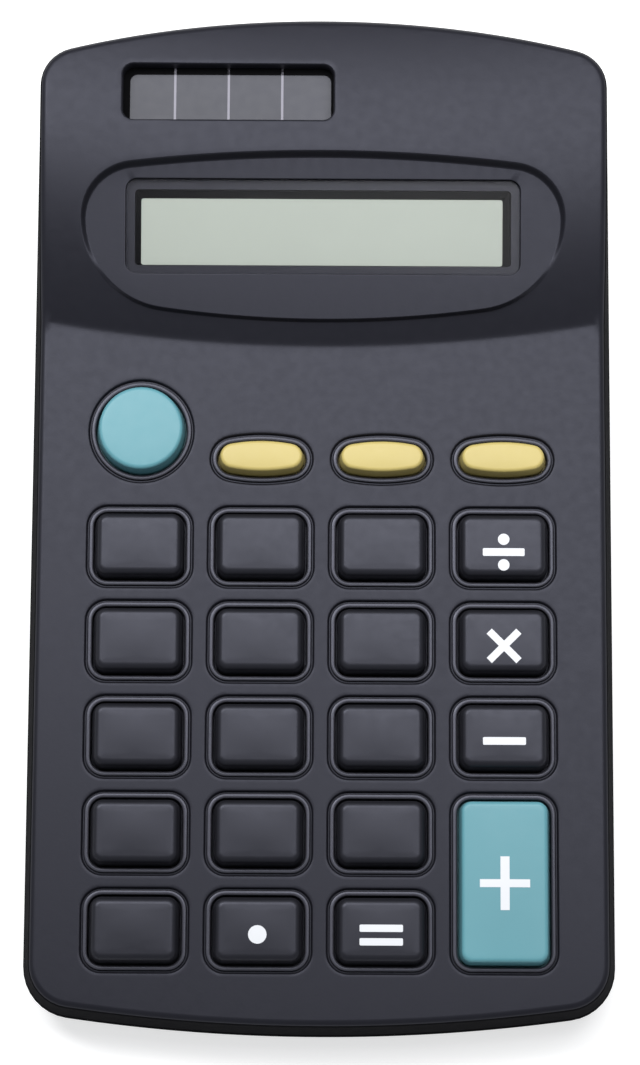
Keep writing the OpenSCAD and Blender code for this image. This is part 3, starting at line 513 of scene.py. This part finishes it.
COOL = (0.80, 0.82, 1.0, 1.0)
MATERIALS = {
    "case_charcoal": moulded("charcoal_plastic", srgb(22, 22, 27), 0.42, bump=0.25, specular=0.28,
                             variation=0.02, sheen=COOL),
    # Lighter copy of the case plastic, with stronger edge brightening, for the bead round each key well:
    # painted highlight
    "case_bead": moulded("bead_painted_highlight", srgb(52, 52, 58), 0.34, bump=0.1, wear=0.5, specular=0.4,
                         sheen=COOL),
    # Matt, barely reflective copy of the case plastic with a darker base colour than the deck, for the
    # side walls: painted shade
    "case_side": moulded("charcoal_side_painted_shade", srgb(14, 14, 17), 0.8, bump=0.4, specular=0.02),
    "case_black": moulded("black_plastic", srgb(15, 15, 17), 0.7, bump=0.3, specular=0.03),
    "key_charcoal": moulded("charcoal_key_plastic", srgb(24, 24, 28), 0.4, texture=3200, bump=0.08,
                            specular=0.36, sheen=COOL),
    "key_teal": moulded("teal_key_plastic", srgb(86, 138, 148), 0.4, texture=3200, bump=0.08, wear=0.05,
                        specular=0.36),
    "key_yellow": moulded("yellow_key_plastic", srgb(178, 162, 98), 0.4, texture=3200, bump=0.08,
                          wear=0.05, specular=0.36),
    "foot_rubber": moulded("foot_rubber", srgb(22, 22, 22), 0.8, texture=1800, bump=0.5),
    "legend": moulded("legend_ink", srgb(206, 208, 212), 0.5, texture=4000, bump=0.1, wear=0.0,
                      variation=0.02),
    # Near-black sheet for the frames round the display's visible area and the solar cell: painted shade of
    # the window walls
    "painted_shade_black": moulded("painted_shade_black", srgb(8, 8, 10), 0.7, bump=0.1, wear=0.0, specular=0.03),
    "clear_acrylic": moulded("clear_acrylic", srgb(30, 30, 36), 0.15, texture=300, bump=0.002, wear=0.0,
                             variation=0.01, specular=0.6, alpha=0.06),
    "polarizer_film": moulded("polarizer_film", srgb(158, 165, 156), 0.5, texture=5000, bump=0.03,
                              wear=0.0, variation=0.02),
    "display_glass": moulded("display_glass", srgb(248, 252, 250), 0.02, bump=0.0, wear=0.0,
                             variation=0.01, clear=1.0),
    "reflector_film": moulded("reflector_film", srgb(196, 198, 188), 0.35, metallic=0.6, wear=0.0),
    "holder_plastic": moulded("holder_plastic", srgb(205, 204, 196), 0.5),
    "screw_steel": moulded("zinc_screw", srgb(170, 172, 176), 0.3, metallic=1.0, wear=0.1),
    "screw_dark": moulded("black_screw", srgb(52, 52, 56), 0.38, metallic=0.9, wear=0.5),
    "ribbon_film": moulded("ribbon_film", srgb(186, 128, 60), 0.35, texture=900, bump=0.1),
    "solar_silicon": moulded("solar_glass", srgb(52, 53, 62), 0.4, texture=700, bump=0.02,
                             variation=0.1, wear=0.0, specular=0.3),
    "divider_silver": moulded("divider_silver", srgb(118, 116, 128), 0.45, texture=3000, bump=0.05,
                              wear=0.0),
    "gasket_foam": moulded("gasket_foam", srgb(36, 36, 38), 0.9, texture=1400, bump=0.6),
    "red_insulation": moulded("wire_insulation", srgb(168, 34, 30), 0.4, bump=0.1),
    "board_laminate": moulded("board_mask", srgb(34, 96, 52), 0.3, texture=500, bump=0.2, variation=0.2),
    "chip_epoxy": moulded("chip_epoxy", srgb(16, 16, 17), 0.2, texture=400, bump=0.1),
    "capacitor_sleeve": moulded("capacitor_sleeve", srgb(34, 44, 96), 0.3),
    "chip_ceramic": moulded("chip_ceramic", srgb(150, 124, 92), 0.5),
    "mat_silicone": moulded("mat_silicone", srgb(142, 146, 152), 0.55, texture=1500, bump=0.2),
    "cell_jacket": moulded("cell_jacket", srgb(176, 128, 44), 0.28, texture=500, bump=0.05, metallic=0.5),
    "contact_nickel": moulded("nickel_contact", srgb(200, 196, 186), 0.25, texture=1200, bump=0.1,
                              metallic=1.0),
}


def dress_frame():
    """Gives each CAD node the detailed material of its slot."""
    for part in frame["record"]["subparts"]:
        node = frame["nodes"][part["node"]]
        for slot in node.material_slots:
            slot.material = MATERIALS[part["material_slot"]]


# ---- Keys ----

KEYS = {"key_on_clear": "round", "key_add": "tall"}
KEYS.update({"key_memory_" + name: "oval" for name in ("recall", "minus", "plus")})
BLACK_KEYS = ["sign", "root", "percent", "divide", "7", "8", "9", "multiply", "4", "5", "6",
              "subtract", "1", "2", "3", "0", "decimal_point", "equals"]
KEYS.update({"key_" + name: "square" for name in BLACK_KEYS})
CAP_DRAFT = 0.18
CAP_CROWN = 0.10


def cap_fillet(kind):
    """Radius of the rounding round a cap's top."""
    return {"oval": 0.45, "round": 0.5, "tall": 0.55}.get(kind, 0.85)


@lru_cache(maxsize=None)
def cap_size(kind):
    """Half width and half depth of a cap."""
    outline = cap_outline(kind)(0)
    return max(x for x, _ in outline), max(y for _, y in outline)


def cap_top(kind, x, y):
    """Height of a cap's slightly crowned top face."""
    flat_x, flat_y = (size - CAP_DRAFT - cap_fillet(kind) for size in cap_size(kind))
    if kind == "round":
        return CAP_H + CAP_CROWN * max(0, 1 - (x * x + y * y) / flat_x ** 2)
    return CAP_H + CAP_CROWN * max(0, 1 - (x / flat_x) ** 2) * max(0, 1 - (y / flat_y) ** 2)


def grid(half_x, half_y, step):
    """Square grid of plan points round the origin."""
    nx, ny = int(half_x / step), int(half_y / step)
    return [(i * step, j * step) for i in range(-nx, nx + 1) for j in range(-ny, ny + 1)]


def key_cap(node, kind):
    """Cap with its retaining flange, drafted side, rounded edge and crowned top."""
    cx, cy = key_place(node)
    outline = cap_outline(kind)
    r = cap_fillet(kind)
    profile = [(FLANGE_OUT - 0.1, FLANGE_LOW), (FLANGE_OUT, FLANGE_LOW + 0.1),
               (FLANGE_OUT, FLANGE_TOP - 0.1), (FLANGE_OUT - 0.1, FLANGE_TOP), (0, FLANGE_TOP),
               (0, 0.1)]
    for i in range(8):
        a = math.pi / 2 * i / 7
        profile.append((-CAP_DRAFT - r * (1 - math.cos(a)), CAP_H - r + r * math.sin(a)))
    shell = Shell()
    made = shell.rings([[(cx + x, cy + y, h) for x, y in outline(grow)] for grow, h in profile])
    shell.cap(made[0])
    rim = [shell.points[i][:2] for i in made[-1]]
    inner = keep_clear([(cx + x, cy + y) for x, y in grid(*cap_size(kind), 0.7)], rim, [], 0.3)
    shell.sheet(made[-1], inner=[(x, y, cap_top(kind, x - cx, y - cy)) for x, y in inner])
    slot = {"oval": "key_yellow", "square": "key_charcoal"}.get(kind, "key_teal")
    cap = weighted(shell.object(node + "_cap", 50))
    finish_piece(cap, node, slot, node)


def bar(w, h, cx=0.0, cy=0.0):
    """Stroke with slightly rounded corners."""
    return [(cx + x, cy + y) for x, y in rounded_rect(w, h, 0.14, 3, max(int(w / 0.7), 1), 1)]


def cross(w, h, stroke_w, stroke_h, turn=0.0):
    """Plus sign, turned by an angle in degrees."""
    a, b, c, d = w / 2, h / 2, stroke_w / 2, stroke_h / 2
    quarter = [(a, -d), (a, d), (c, d), (c, b)]
    right = [(c, -b), (c, -d)] + quarter
    points = right + [(-x, -y) for x, y in right]
    k, s = math.cos(math.radians(turn)), math.sin(math.radians(turn))
    return [(x * k - y * s, x * s + y * k) for x, y in points]


def dot(r, cx=0.0, cy=0.0):
    return circle(cx, cy, r, 20)


MARKS = {"key_divide": [bar(4.9, 0.92), dot(0.68, 0, 1.52), dot(0.68, 0, -1.52)],
         "key_multiply": [cross(4.9, 4.9, 0.86, 0.86, 45)],
         "key_subtract": [bar(5.0, 0.9)],
         "key_add": [cross(5.8, 6.2, 1.05, 0.92)],
         "key_decimal_point": [dot(1.07)],
         "key_equals": [bar(5.0, 0.84, 0, 0.78), bar(5.0, 0.84, 0, -0.78)]}
# How far each mark lies in front of the middle of its cap
MARK_DROP = {"key_divide": 0.85, "key_multiply": 0.7, "key_subtract": 0.6, "key_add": 0.2,
             "key_decimal_point": 0.6, "key_equals": 0.6}


def key_mark(node, outlines):
    """White mark inlaid in the cap's top, a few hundredths of a millimetre proud."""
    proud, sunk = 0.03, -0.1
    kind = KEYS[node]
    cx, cy = key_place(node)
    shell = Shell()
    for outline in outlines:
        plan = [(x, y - MARK_DROP[node]) for x, y in outline]

        def level(points, rise):
            return [(cx + x, cy + y, cap_top(kind, x, y) + rise) for x, y in points]

        made = shell.rings([level(plan, sunk), level(plan, proud)])
        inner = keep_clear(grid(3.5, 4, 0.5), plan, [], 0.12)
        shell.sheet(made[1], inner=level(inner, proud))
        shell.sheet(made[0], inner=level(inner, sunk))
    finish_piece(shell.object(node + "_mark", 50), node, "legend")


# ---- Top case ----

def rise_over(points, height):
    """Lifts plan points onto a surface."""
    return [(x, y, height(x, y)) for x, y in points]


def key_well(shell, node, kind):
    """Sunken ledge and opening round a key. Returns the rings on the outer and inner surfaces."""
    cx, cy = key_place(node)
    outline = cap_outline(kind)
    edge, hole = CLEARANCE + LEDGE, CLEARANCE
    groove = [(edge + 0.5, 0), (edge + 0.2, 0), (edge + 0.1, -0.03), (edge + 0.02, -0.12),
              (edge - 0.03, -0.3), (edge - 0.09, -0.42), (edge - 0.2, -0.42), (edge - 0.26, -0.3)]
    bead = [(edge - 0.28, -0.13), (edge - 0.33, -0.04), (edge - 0.42, 0), (edge - 0.58, 0),
            (edge - 0.7, -0.03), (edge - 0.78, -0.11), (edge - 0.82, -0.25)]
    profile = groove + bead + [(hole, -0.55), (hole, -WALL)]
    first = len(shell.faces)
    made = shell.rings([[(cx + x, cy + y, deck_height(cx + x, cy + y) + h) for x, y in outline(grow)]
                        for grow, h in profile])
    around = len(made[0])
    # The bead's faces take material 2, the lighter bead copy of the case plastic: painted highlight along
    # the bead
    shell.tones.update(dict.fromkeys(range(first + len(groove) * around,
                                           first + (len(groove) + len(bead) - 2) * around), 2))
    return made[0], made[-1]


def display_well(shell):
    """S-shaped step from the hump to the display face. Returns its outer and inner rings."""
    front_half, widening = 0.18, 0.17     # half the step's width in front, and how much it grows
    widen_start, widen_length = 1, 7
    rows = []
    outwards = list(zip(display_outline(0), display_outline(1)))
    for i in range(9):
        u = i / 8
        k = u * u * (3 - 2 * u)
        ring = []
        for (x, s), (far_x, far_s) in outwards:
            half = front_half + widening * min(max((s - widen_start) / widen_length, 0), 1)
            grow = half * (1 - 2 * u)
            x, s = x + (far_x - x) * grow, s + (far_s - s) * grow
            v = FACE_FRONT + s * math.cos(FACE_SLOPE)
            ring.append((x, v, (1 - k) * deck_height(x, v) + k * face_height(v)))
        rows.append(ring)
    collar = [(x, FACE_FRONT + s * math.cos(FACE_SLOPE)) for x, s in display_outline(1.0)]
    rows.insert(0, rise_over(collar, deck_height))
    made = shell.rings(rows)
    return made[0], made[-1]


def face_ring(w, d, r, s, t):
    """Rounded rectangle on the display face, its middle s up the face and t out of it."""
    return [on_face(x, s + y, t) for x, y in rounded_rect(w, d, r, 6, 24, 6)]


def lens_seat(shell):
    """Recess for the lens and the window through the case."""
    gap = 0.05
    made = shell.rings([
        face_ring(LENS_W + 0.36, LENS_D + 0.36, 1.45, LENS_S, 0),
        face_ring(LENS_W + 0.2, LENS_D + 0.2, 1.4, LENS_S, -0.03),
        face_ring(LENS_W + 2 * gap, LENS_D + 2 * gap, 1.3, LENS_S, -0.14),
        face_ring(LENS_W + 2 * gap, LENS_D + 2 * gap, 1.3, LENS_S, -LENS_T - gap),
        face_ring(WINDOW_W + 0.1, WINDOW_D + 0.1, 0.5, WINDOW_S, -LENS_T - gap),
        face_ring(WINDOW_W, WINDOW_D, 0.45, WINDOW_S, -LENS_T - 0.15),
        face_ring(WINDOW_W, WINDOW_D, 0.45, WINDOW_S, -WALL)])
    return made[0], made[-1]


def solar_well(shell):
    """Solar window, with the boss under it that carries the gasket."""
    def ring(grow, height):
        plan = rounded_rect(SOLAR_W + 2 * grow, SOLAR_D + 2 * grow, 1.3 + grow, 8, 16, 5)
        return [(SOLAR_X + x, SOLAR_V + y, height(SOLAR_X + x, SOLAR_V + y)) for x, y in plan]

    made = shell.rings([
        ring(0.8, deck_height),
        ring(0.3, deck_height),
        ring(0.14, lambda x, v: deck_height(x, v) - 0.04),
        ring(0.04, lambda x, v: deck_height(x, v) - 0.14),
        ring(0, lambda x, v: deck_height(x, v) - 0.3),
        ring(0, lambda x, v: SOLAR_FACE),
        ring(SOLAR_MARGIN, lambda x, v: SOLAR_FACE),
        ring(SOLAR_MARGIN, lambda x, v: min(deck_height(x, v) - WALL, SOLAR_FACE + 0.3))])
    return made[0], made[-1]


def hump_points():
    """Points along arcs that follow the hump's front edge, close together at the crease."""
    centre = HUMP_FRONT + HUMP_SWEEP
    steps = [1.6, 1.0, 0.6, 0.35, 0.15, 0, -0.15, -0.35, -0.6, -1.0, -1.6, -2.4]
    steps += [-3.4 - 1.1 * i for i in range(36)]
    points = []
    for step in steps:
        r = HUMP_SWEEP + step
        for i in range(-24, 25):
            x = i * 1.4
            points.append((x, centre - math.sqrt(r * r - x * x)))
    return points


def top_case():
    """Top shell: skirt and shoulder, deck and hump, wells, and the inner surface under them."""
    shell = Shell()
    wells = [key_well(shell, node, kind) for node, kind in KEYS.items()]
    display_outer, display_inner = display_well(shell)
    seat_outer, seat_inner = lens_seat(shell)
    solar_outer, solar_inner = solar_well(shell)

    # Outer wall: drafted side, then a rounded shoulder into the deck
    edge_r, top_inset = 0.95, 0.75
    lip = case_outline(WALL - 0.1)
    rows = [[(x, y, -PARTING + 0.02) for x, y in lip],
            [(x, y, -PARTING + 0.02) for x, y in case_outline(0.32)],
            [(x, y, -PARTING + 0.16) for x, y in case_outline(0.12)]]
    for k in (0.33, 0.67, 1.0):
        rows.append([(x, y, (1 - k) * (-PARTING + 0.16) + k * (deck_height(x, y) - edge_r))
                     for x, y in case_outline(0.12 + (top_inset - 0.12) * k)])
    for i in range(1, 8):
        a = math.pi / 2 * i / 7
        rows.append([(x, y, deck_height(x, y) - edge_r * (1 - math.sin(a)))
                     for x, y in case_outline(top_inset + edge_r * (1 - math.cos(a)))])
    first = len(shell.faces)
    made = shell.rings(rows)
    # The skirt's faces take material 1, the darker side copy of the case plastic: painted shade on the
    # side walls
    shell.tones.update(dict.fromkeys(range(first, len(shell.faces) - 4 * len(lip)), 1))

    def plan(ring):
        return [shell.points[i][:2] for i in ring]

    holes = [ring for ring, _ in wells] + [display_outer, solar_outer]
    hump = keep_clear(hump_points(), plan(made[-1]), [plan(r) for r in holes], 0.35)
    shell.sheet(made[-1], holes, rise_over(hump, deck_height))
    shell.sheet(display_inner, [seat_outer])

    def inner_height(x, v):
        """Height of the inner surface, which drops under the sunk display face."""
        outer = deck_height(x, v)
        if abs(x) < FACE_HALF_W:
            outer = min(outer, max(face_height(v), 0))
        return outer - WALL

    # Inner wall and inner surface
    wall_rows = [[(x, y, -PARTING + 0.02) for x, y in lip],
                 [(x, y, inner_height(x, y)) for x, y in case_outline(WALL + 1.0)]]
    inner_wall = [shell.ring(row_points) for row_points in wall_rows]
    shell.band(made[0], inner_wall[0])
    shell.band(inner_wall[0], inner_wall[1])
    holes = [ring for _, ring in wells] + [seat_inner, solar_inner]
    under = keep_clear(hump_points(), plan(inner_wall[1]), [plan(r) for r in holes], 0.5)
    shell.sheet(inner_wall[1], holes, rise_over(under, inner_height))
    case = weighted(shell.object("top_case_shell", 32))
    finish_piece(case, "case", "case_charcoal", "top_case")
    # Material 1: the darker side copy of the case plastic, painted shade
    case.data.materials.append(MATERIALS["case_side"])
    # Material 2: the lighter bead copy of the case plastic, a painted highlight
    case.data.materials.append(MATERIALS["case_bead"])


# ---- Bottom case and battery door ----

def bottom_profile():
    """Insets and heights of the bottom case's outer surface, from its floor to the parting line."""
    rows = [(2.9, 0.0), (2.2, 0.03), (1.6, 0.14), (1.15, 0.36), (0.85, 0.7), (0.65, 1.2), (0.5, 2.0)]
    return [(inset, BASE_Z + rise) for inset, rise in rows]


def bottom_rows():
    """Rings of the bottom case's outer surface, closed in below the parting line."""
    rows = [[(x, y, z) for x, y in case_outline(inset)] for inset, z in bottom_profile()]
    side = case_outline(0.0)
    rows.append([(x, y, parting_z(y) - 0.2) for x, y in side])
    rows.append([(x, y, parting_z(y) - 0.02) for x, y in case_outline(0.2)])
    return rows


def solid_bottom(name):
    shell = Shell(row)
    made = shell.rings(bottom_rows())
    shell.cap(made[0])
    shell.cap(made[-1])
    return shell.object(name)


def case_cavity():
    """Cutter for the space inside the bottom case."""
    shell = Shell(row)
    made = shell.rings([[(x, y, FLOOR_Z) for x, y in case_outline(WALL + 1.6)],
                        [(x, y, FLOOR_Z + 1.2) for x, y in case_outline(WALL + 0.1)],
                        [(x, y, parting_z(y) + 1) for x, y in case_outline(WALL)]])
    shell.cap(made[0])
    shell.cap(made[-1])
    return shell.object("cavity_cutter")


DOOR_LOW, DOOR_HIGH = ([c / MM for c in corner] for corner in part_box("battery_door"))
TONGUE, TONGUE_T = 1.6, 0.5
DOOR_HALF = DOOR_HIGH[0] - TONGUE
DOOR_GAP = 0.22
CELL_LOW, CELL_HIGH = ([c / MM for c in corner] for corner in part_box("aaa_cell"))
PLUS_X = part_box("battery_plus_plate")[0][0] / MM
MINUS_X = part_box("battery_minus_plate")[1][0] / MM
BAY_WALL = 1.1
BAY_FRONT, BAY_REAR = CELL_LOW[1] - 0.25, CELL_HIGH[1] + 0.25
ROOF_Z = CELL_HIGH[2] + 0.25
LIP_Y = BAY_REAR + BAY_WALL + 0.4
BEYOND = HALF_L + 4


def door_blocks(gap, low):
    """Corners of the blocks that make the door, grown by a gap."""
    front = DOOR_LOW[1] - gap
    wide = DOOR_HIGH[0] + gap
    top = DOOR_HIGH[2] + gap
    groove = FLOOR_Z + 0.1 - (0.1 if gap else 0)
    narrow = DOOR_HALF + gap
    return [((-narrow, front, low), (narrow, BEYOND, FLOOR_Z + 0.01)),
            ((-wide, front, groove), (wide, LIP_Y + 0.3, FLOOR_Z + 0.1 + TONGUE_T + gap)),
            ((-narrow, LIP_Y - gap, low), (narrow, BEYOND, top)),
            ((-wide, LIP_Y - gap, groove), (wide, BEYOND, top))]


def battery_door():
    """Door cut from the bottom case's own outer shape, with tongues and grip grooves."""
    door = solid_bottom("battery_door_panel")
    blocks = door_blocks(0, -1)
    keep = box_solid("keep", *blocks[0])
    for low, high in blocks[1:]:
        carve(keep, box_solid("more", low, high), "UNION")
    web = (-DOOR_HALF, DOOR_LOW[1], FLOOR_Z - 0.1), (DOOR_HALF, LIP_Y - 1.6, FLOOR_Z + 0.2)
    carve(keep, box_solid("web", *web), "UNION")
    carve(door, keep, "INTERSECT")
    grips, grip_pitch, grip_w, grip_depth = 7, 1.5, 0.6, 0.35
    for i in range(grips):
        y = DOOR_LOW[1] + 3.2 + grip_pitch * i
        half = 9 - 0.28 * (i - grips // 2) ** 2
        carve(door, box_solid("grip", (-half, y, BASE_Z - 1), (half, y + grip_w, BASE_Z + grip_depth)))
    clean(door, 30)
    finish_piece(door, "battery_door", "case_black", "battery_door")


SCREWS = [(sx * (HALF_W - 3.9), y, seat) for sx in (-1, 1)
          for y, seat in ((-HALF_L + 10, BASE_Z + 2.2), (HALF_L - 10, BASE_Z + 7.2))]
FEET = [(sx * x, y) for sx in (-1, 1)
        for x, y in ((HALF_W - 12.5, -HALF_L + 9.5), (HALF_W - 8, HALF_L - 25))]
FOOT_R = 4.0
POST_R, COUNTERBORE_R, SHANK_R = 2.6, 1.95, 1.05


def bottom_case():
    """Bottom shell with its screw posts, battery bay, door opening and foot pockets."""
    case = solid_bottom("bottom_case_shell")
    cavity = case_cavity()
    for x, y, _ in SCREWS:
        carve(cavity, drum("post", x, y, 0, 30, POST_R))
    carve(case, cavity)
    inner = (MINUS_X - 0.5, BAY_FRONT, FLOOR_Z - 1), (PLUS_X + 0.5, BAY_REAR, ROOF_Z)
    bay = box_solid("bay", (inner[0][0] - BAY_WALL, BAY_FRONT - BAY_WALL, FLOOR_Z - 0.3),
                    (inner[1][0] + BAY_WALL, BAY_REAR + BAY_WALL, ROOF_Z + BAY_WALL))
    carve(bay, box_solid("bay_space", *inner))
    carve(case, bay, "UNION")
    for low, high in door_blocks(DOOR_GAP, -2):
        carve(case, box_solid("door_space", low, high))
    for x, y, seat in SCREWS:
        carve(case, drum("counterbore", x, y, -1, seat, COUNTERBORE_R))
        carve(case, drum("shank_hole", x, y, -1, 30, SHANK_R, 24))
    for x, y in FEET:
        carve(case, drum("foot_pocket", x, y, -1, BASE_Z + 0.4, FOOT_R + 0.05))
    clean(case, 30)
    finish_piece(case, "case", "case_black", "bottom_case")


def rubber_feet():
    """Four turned feet. The first one stands for the CAD node that holds all four."""
    r = FOOT_R
    profile = [(r - 0.02, BASE_Z + 0.39), (r - 0.02, 0.5), (r - 0.08, 0.25), (r - 0.25, 0.08),
               (r - 0.5, 0.0), (r - 1.1, 0.0), (r - 1.25, 0.12), (r - 1.4, 0.12), (r - 1.55, 0.0),
               (0.4, 0.0)]
    for i, (x, y) in enumerate(FEET):
        foot = lathe(f"rubber_foot_{i}", profile, lambda px, py, h: row(x + px, y + py, h))
        nodes = ["rubber_feet"] if i == 0 else []
        finish_piece(foot, "case", "foot_rubber", *nodes)


# ---- Display and solar cell ----

def display_lens():
    """Clear plate in its recess over the display."""
    shell = Shell()
    rows = [face_ring(LENS_W - 0.1, LENS_D - 0.1, 1.2, LENS_S, -LENS_T - 0.04),
            face_ring(LENS_W, LENS_D, 1.25, LENS_S, -LENS_T),
            face_ring(LENS_W, LENS_D, 1.25, LENS_S, -0.16),
            face_ring(LENS_W - 0.08, LENS_D - 0.08, 1.22, LENS_S, -0.08),
            face_ring(LENS_W - 0.26, LENS_D - 0.26, 1.15, LENS_S, -0.04)]
    made = shell.rings(rows)
    shell.cap(made[0])
    shell.cap(made[-1])
    lens = weighted(shell.object("display_lens_plate", 50))
    finish_piece(lens, "case", "clear_acrylic", "display_lens")


def display_painted_shade():
    """Black frame over the display's polarizer, sloping down from the window to the visible area: painted
    shade where the window's walls shade the display.
    """
    low = -WALL - 0.03
    outer = face_ring(WINDOW_W - 0.04, WINDOW_D - 0.04, 0.42, WINDOW_S, low)
    upper = face_ring(WINDOW_W - 0.04, WINDOW_D - 0.04, 0.42, WINDOW_S, -WALL + 0.55)
    # The visible area sits low and off centre, so the black band is widest at the top: painted shadow of
    # the window's upper wall
    visible_w, visible_d, shift_x, shift_s = 43.1, 7.95, -0.14, -0.42

    def visible(grow, t):
        ring = face_ring(visible_w + grow, visible_d + grow, 0.3, WINDOW_S + shift_s, t)
        return [(x + shift_x, v, w) for x, v, w in ring]

    shell = Shell()
    made = shell.rings([outer, upper, visible(0.1, low + 0.12), visible(0, low + 0.04), visible(0, low)])
    shell.band(made[-1], made[0])
    finish_piece(shell.object("display_painted_shade_frame", 30), "case", "painted_shade_black")


SOLAR_TOP = SOLAR_FACE - 0.3               # upper face of the solar cell


def solar_painted_shade():
    """Black border on the solar cell: painted shade where the window's walls shade the cell."""
    # The visible area sits low and to the right, so the black band is widest at the top and left: painted
    # shadow of the window's walls
    visible_w, visible_d, shift_x, shift_v = 24.0, 7.0, 0.23, -0.8

    def ring(w, d, r, x, v, height):
        return [(SOLAR_X + x + px, SOLAR_V + v + py, height) for px, py in rounded_rect(w, d, r, 8, 12, 4)]

    shell = Shell()
    low, high = SOLAR_TOP + 0.005, SOLAR_TOP + 0.02
    outer = [ring(SOLAR_W + 1.6, SOLAR_D + 1.8, 1.3, 0, -0.3, height) for height in (low, high)]
    inner = [ring(visible_w, visible_d, 0.9, shift_x, shift_v, height) for height in (high, low)]
    made = shell.rings(outer + inner)
    shell.band(made[-1], made[0])
    finish_piece(shell.object("solar_painted_shade", 30), "case", "painted_shade_black")


def solar_dividers():
    """Silvered lines between the solar cell's four strips."""
    strip_w, line_w = 6.4, 0.28
    shell = Shell()
    for x in (-strip_w, 0, strip_w):
        line = rounded_rect(line_w, SOLAR_D + 1.6, 0.05, 2)
        plan = [(SOLAR_X + x + px, SOLAR_V + py) for px, py in line]
        made = shell.rings([[(px, py, SOLAR_TOP - 0.02) for px, py in plan],
                            [(px, py, SOLAR_TOP + 0.02) for px, py in plan]])
        shell.cap(made[0])
        shell.cap(made[1])
    finish_piece(shell.object("solar_dividers"), "case", "divider_silver")


def aaa_cell():
    """Cell can with its crimp and nub, and the plain jacket round it."""
    r = (CELL_HIGH[2] - CELL_LOW[2]) / 2
    y, z = (CELL_LOW[1] + CELL_HIGH[1]) / 2, (CELL_LOW[2] + CELL_HIGH[2]) / 2
    length = CELL_HIGH[0] - CELL_LOW[0]

    def along(px, py, h):
        return row(CELL_LOW[0] + h, y + px, z + py)

    can = [(r - 1.6, 0.0), (r - 0.7, 0.12), (r - 0.3, 0.3), (r - 0.12, 0.7), (r - 0.12, length - 1.4),
           (r - 0.4, length - 1.0), (r - 1.1, length - 0.85), (2.2, length - 0.8), (1.9, length - 0.6),
           (1.85, length - 0.1), (1.6, length)]
    jacket = [(r - 0.14, 0.8), (r, 0.9), (r, length - 1.7), (r - 0.14, length - 1.6)]
    body = lathe("cell_can", can, along)
    finish_piece(body, "case", "contact_nickel", "aaa_cell")
    finish_piece(lathe("cell_jacket_wrap", jacket, along), "case", "cell_jacket")


# ---- Studio ----

def linked(name, data):
    """Object for a camera, mesh or light, in the scene."""
    obj = bpy.data.objects.new(name, data)
    bpy.context.scene.collection.objects.link(obj)
    return obj


def camera():
    data = bpy.data.cameras.new("camera")
    eye = linked("camera", data)
    bpy.context.scene.camera = eye
    target = Vector((0, 0, 0.010))
    elevation = math.radians(76)
    away = 0.44892
    eye.location = target + away * Vector((0, -math.cos(elevation), math.sin(elevation)))
    roll = Matrix.Rotation(math.radians(0.303), 4, "Z")
    aim = (target - eye.location).to_track_quat("-Z", "Y").to_matrix().to_4x4()
    eye.rotation_euler = (aim @ roll).to_euler()
    data.sensor_width = 36
    data.lens = 127.73
    data.shift_x, data.shift_y = -0.00137, -0.0099
    data.clip_start, data.clip_end = 0.01, 20


def pale_floor():
    """Wide floor with a glow of its own, so that it reads as a white background."""
    half = 3.0
    mesh = bpy.data.meshes.new("floor")
    corners = [(-half, -half, 0), (half, -half, 0), (half, half, 0), (-half, half, 0)]
    mesh.from_pydata(corners, [], [(0, 1, 2, 3)])
    pale = bpy.data.materials.new("pale_floor")
    pale.use_nodes = True
    surface = pale.node_tree.nodes["Principled BSDF"]
    surface.inputs["Base Color"].default_value = (0.6, 0.6, 0.6, 1)
    surface.inputs["Roughness"].default_value = 0.9
    surface.inputs["Emission Color"].default_value = (1, 1, 1, 1)
    surface.inputs["Emission Strength"].default_value = 0.6
    mesh.materials.append(pale)
    linked("floor", mesh)


def softbox(name, place, aim_at, width, depth, watts):
    data = bpy.data.lights.new(name, "AREA")
    data.shape = "RECTANGLE"
    data.size, data.size_y = width, depth
    data.energy = watts
    lamp = linked(name, data)
    lamp.location = place
    lamp.rotation_euler = (Vector(aim_at) - Vector(place)).to_track_quat("-Z", "Y").to_euler()


def studio():
    camera()
    pale_floor()
    softbox("main_softbox", (0.03, 0.08, 0.27), (0.02, 0.055, 0), 0.26, 0.18, 0.85)
    softbox("left_softbox", (-0.22, 0.16, 0.44), (0, 0, 0), 0.14, 0.14, 1.2)
    world = bpy.data.worlds.new("studio_world")
    world.use_nodes = True
    background = world.node_tree.nodes["Background"]
    background.inputs["Color"].default_value = (0.93, 0.96, 1, 1)
    background.inputs["Strength"].default_value = 0.4
    bpy.context.scene.world = world
    bpy.context.scene.view_settings.view_transform = "Standard"


dress_frame()
top_case()
bottom_case()
battery_door()
rubber_feet()
display_lens()
display_painted_shade()
solar_painted_shade()
solar_dividers()
aaa_cell()
for key_node, key_kind in KEYS.items():
    key_cap(key_node, key_kind)
for key_node, mark_outlines in MARKS.items():
    key_mark(key_node, mark_outlines)
studio()
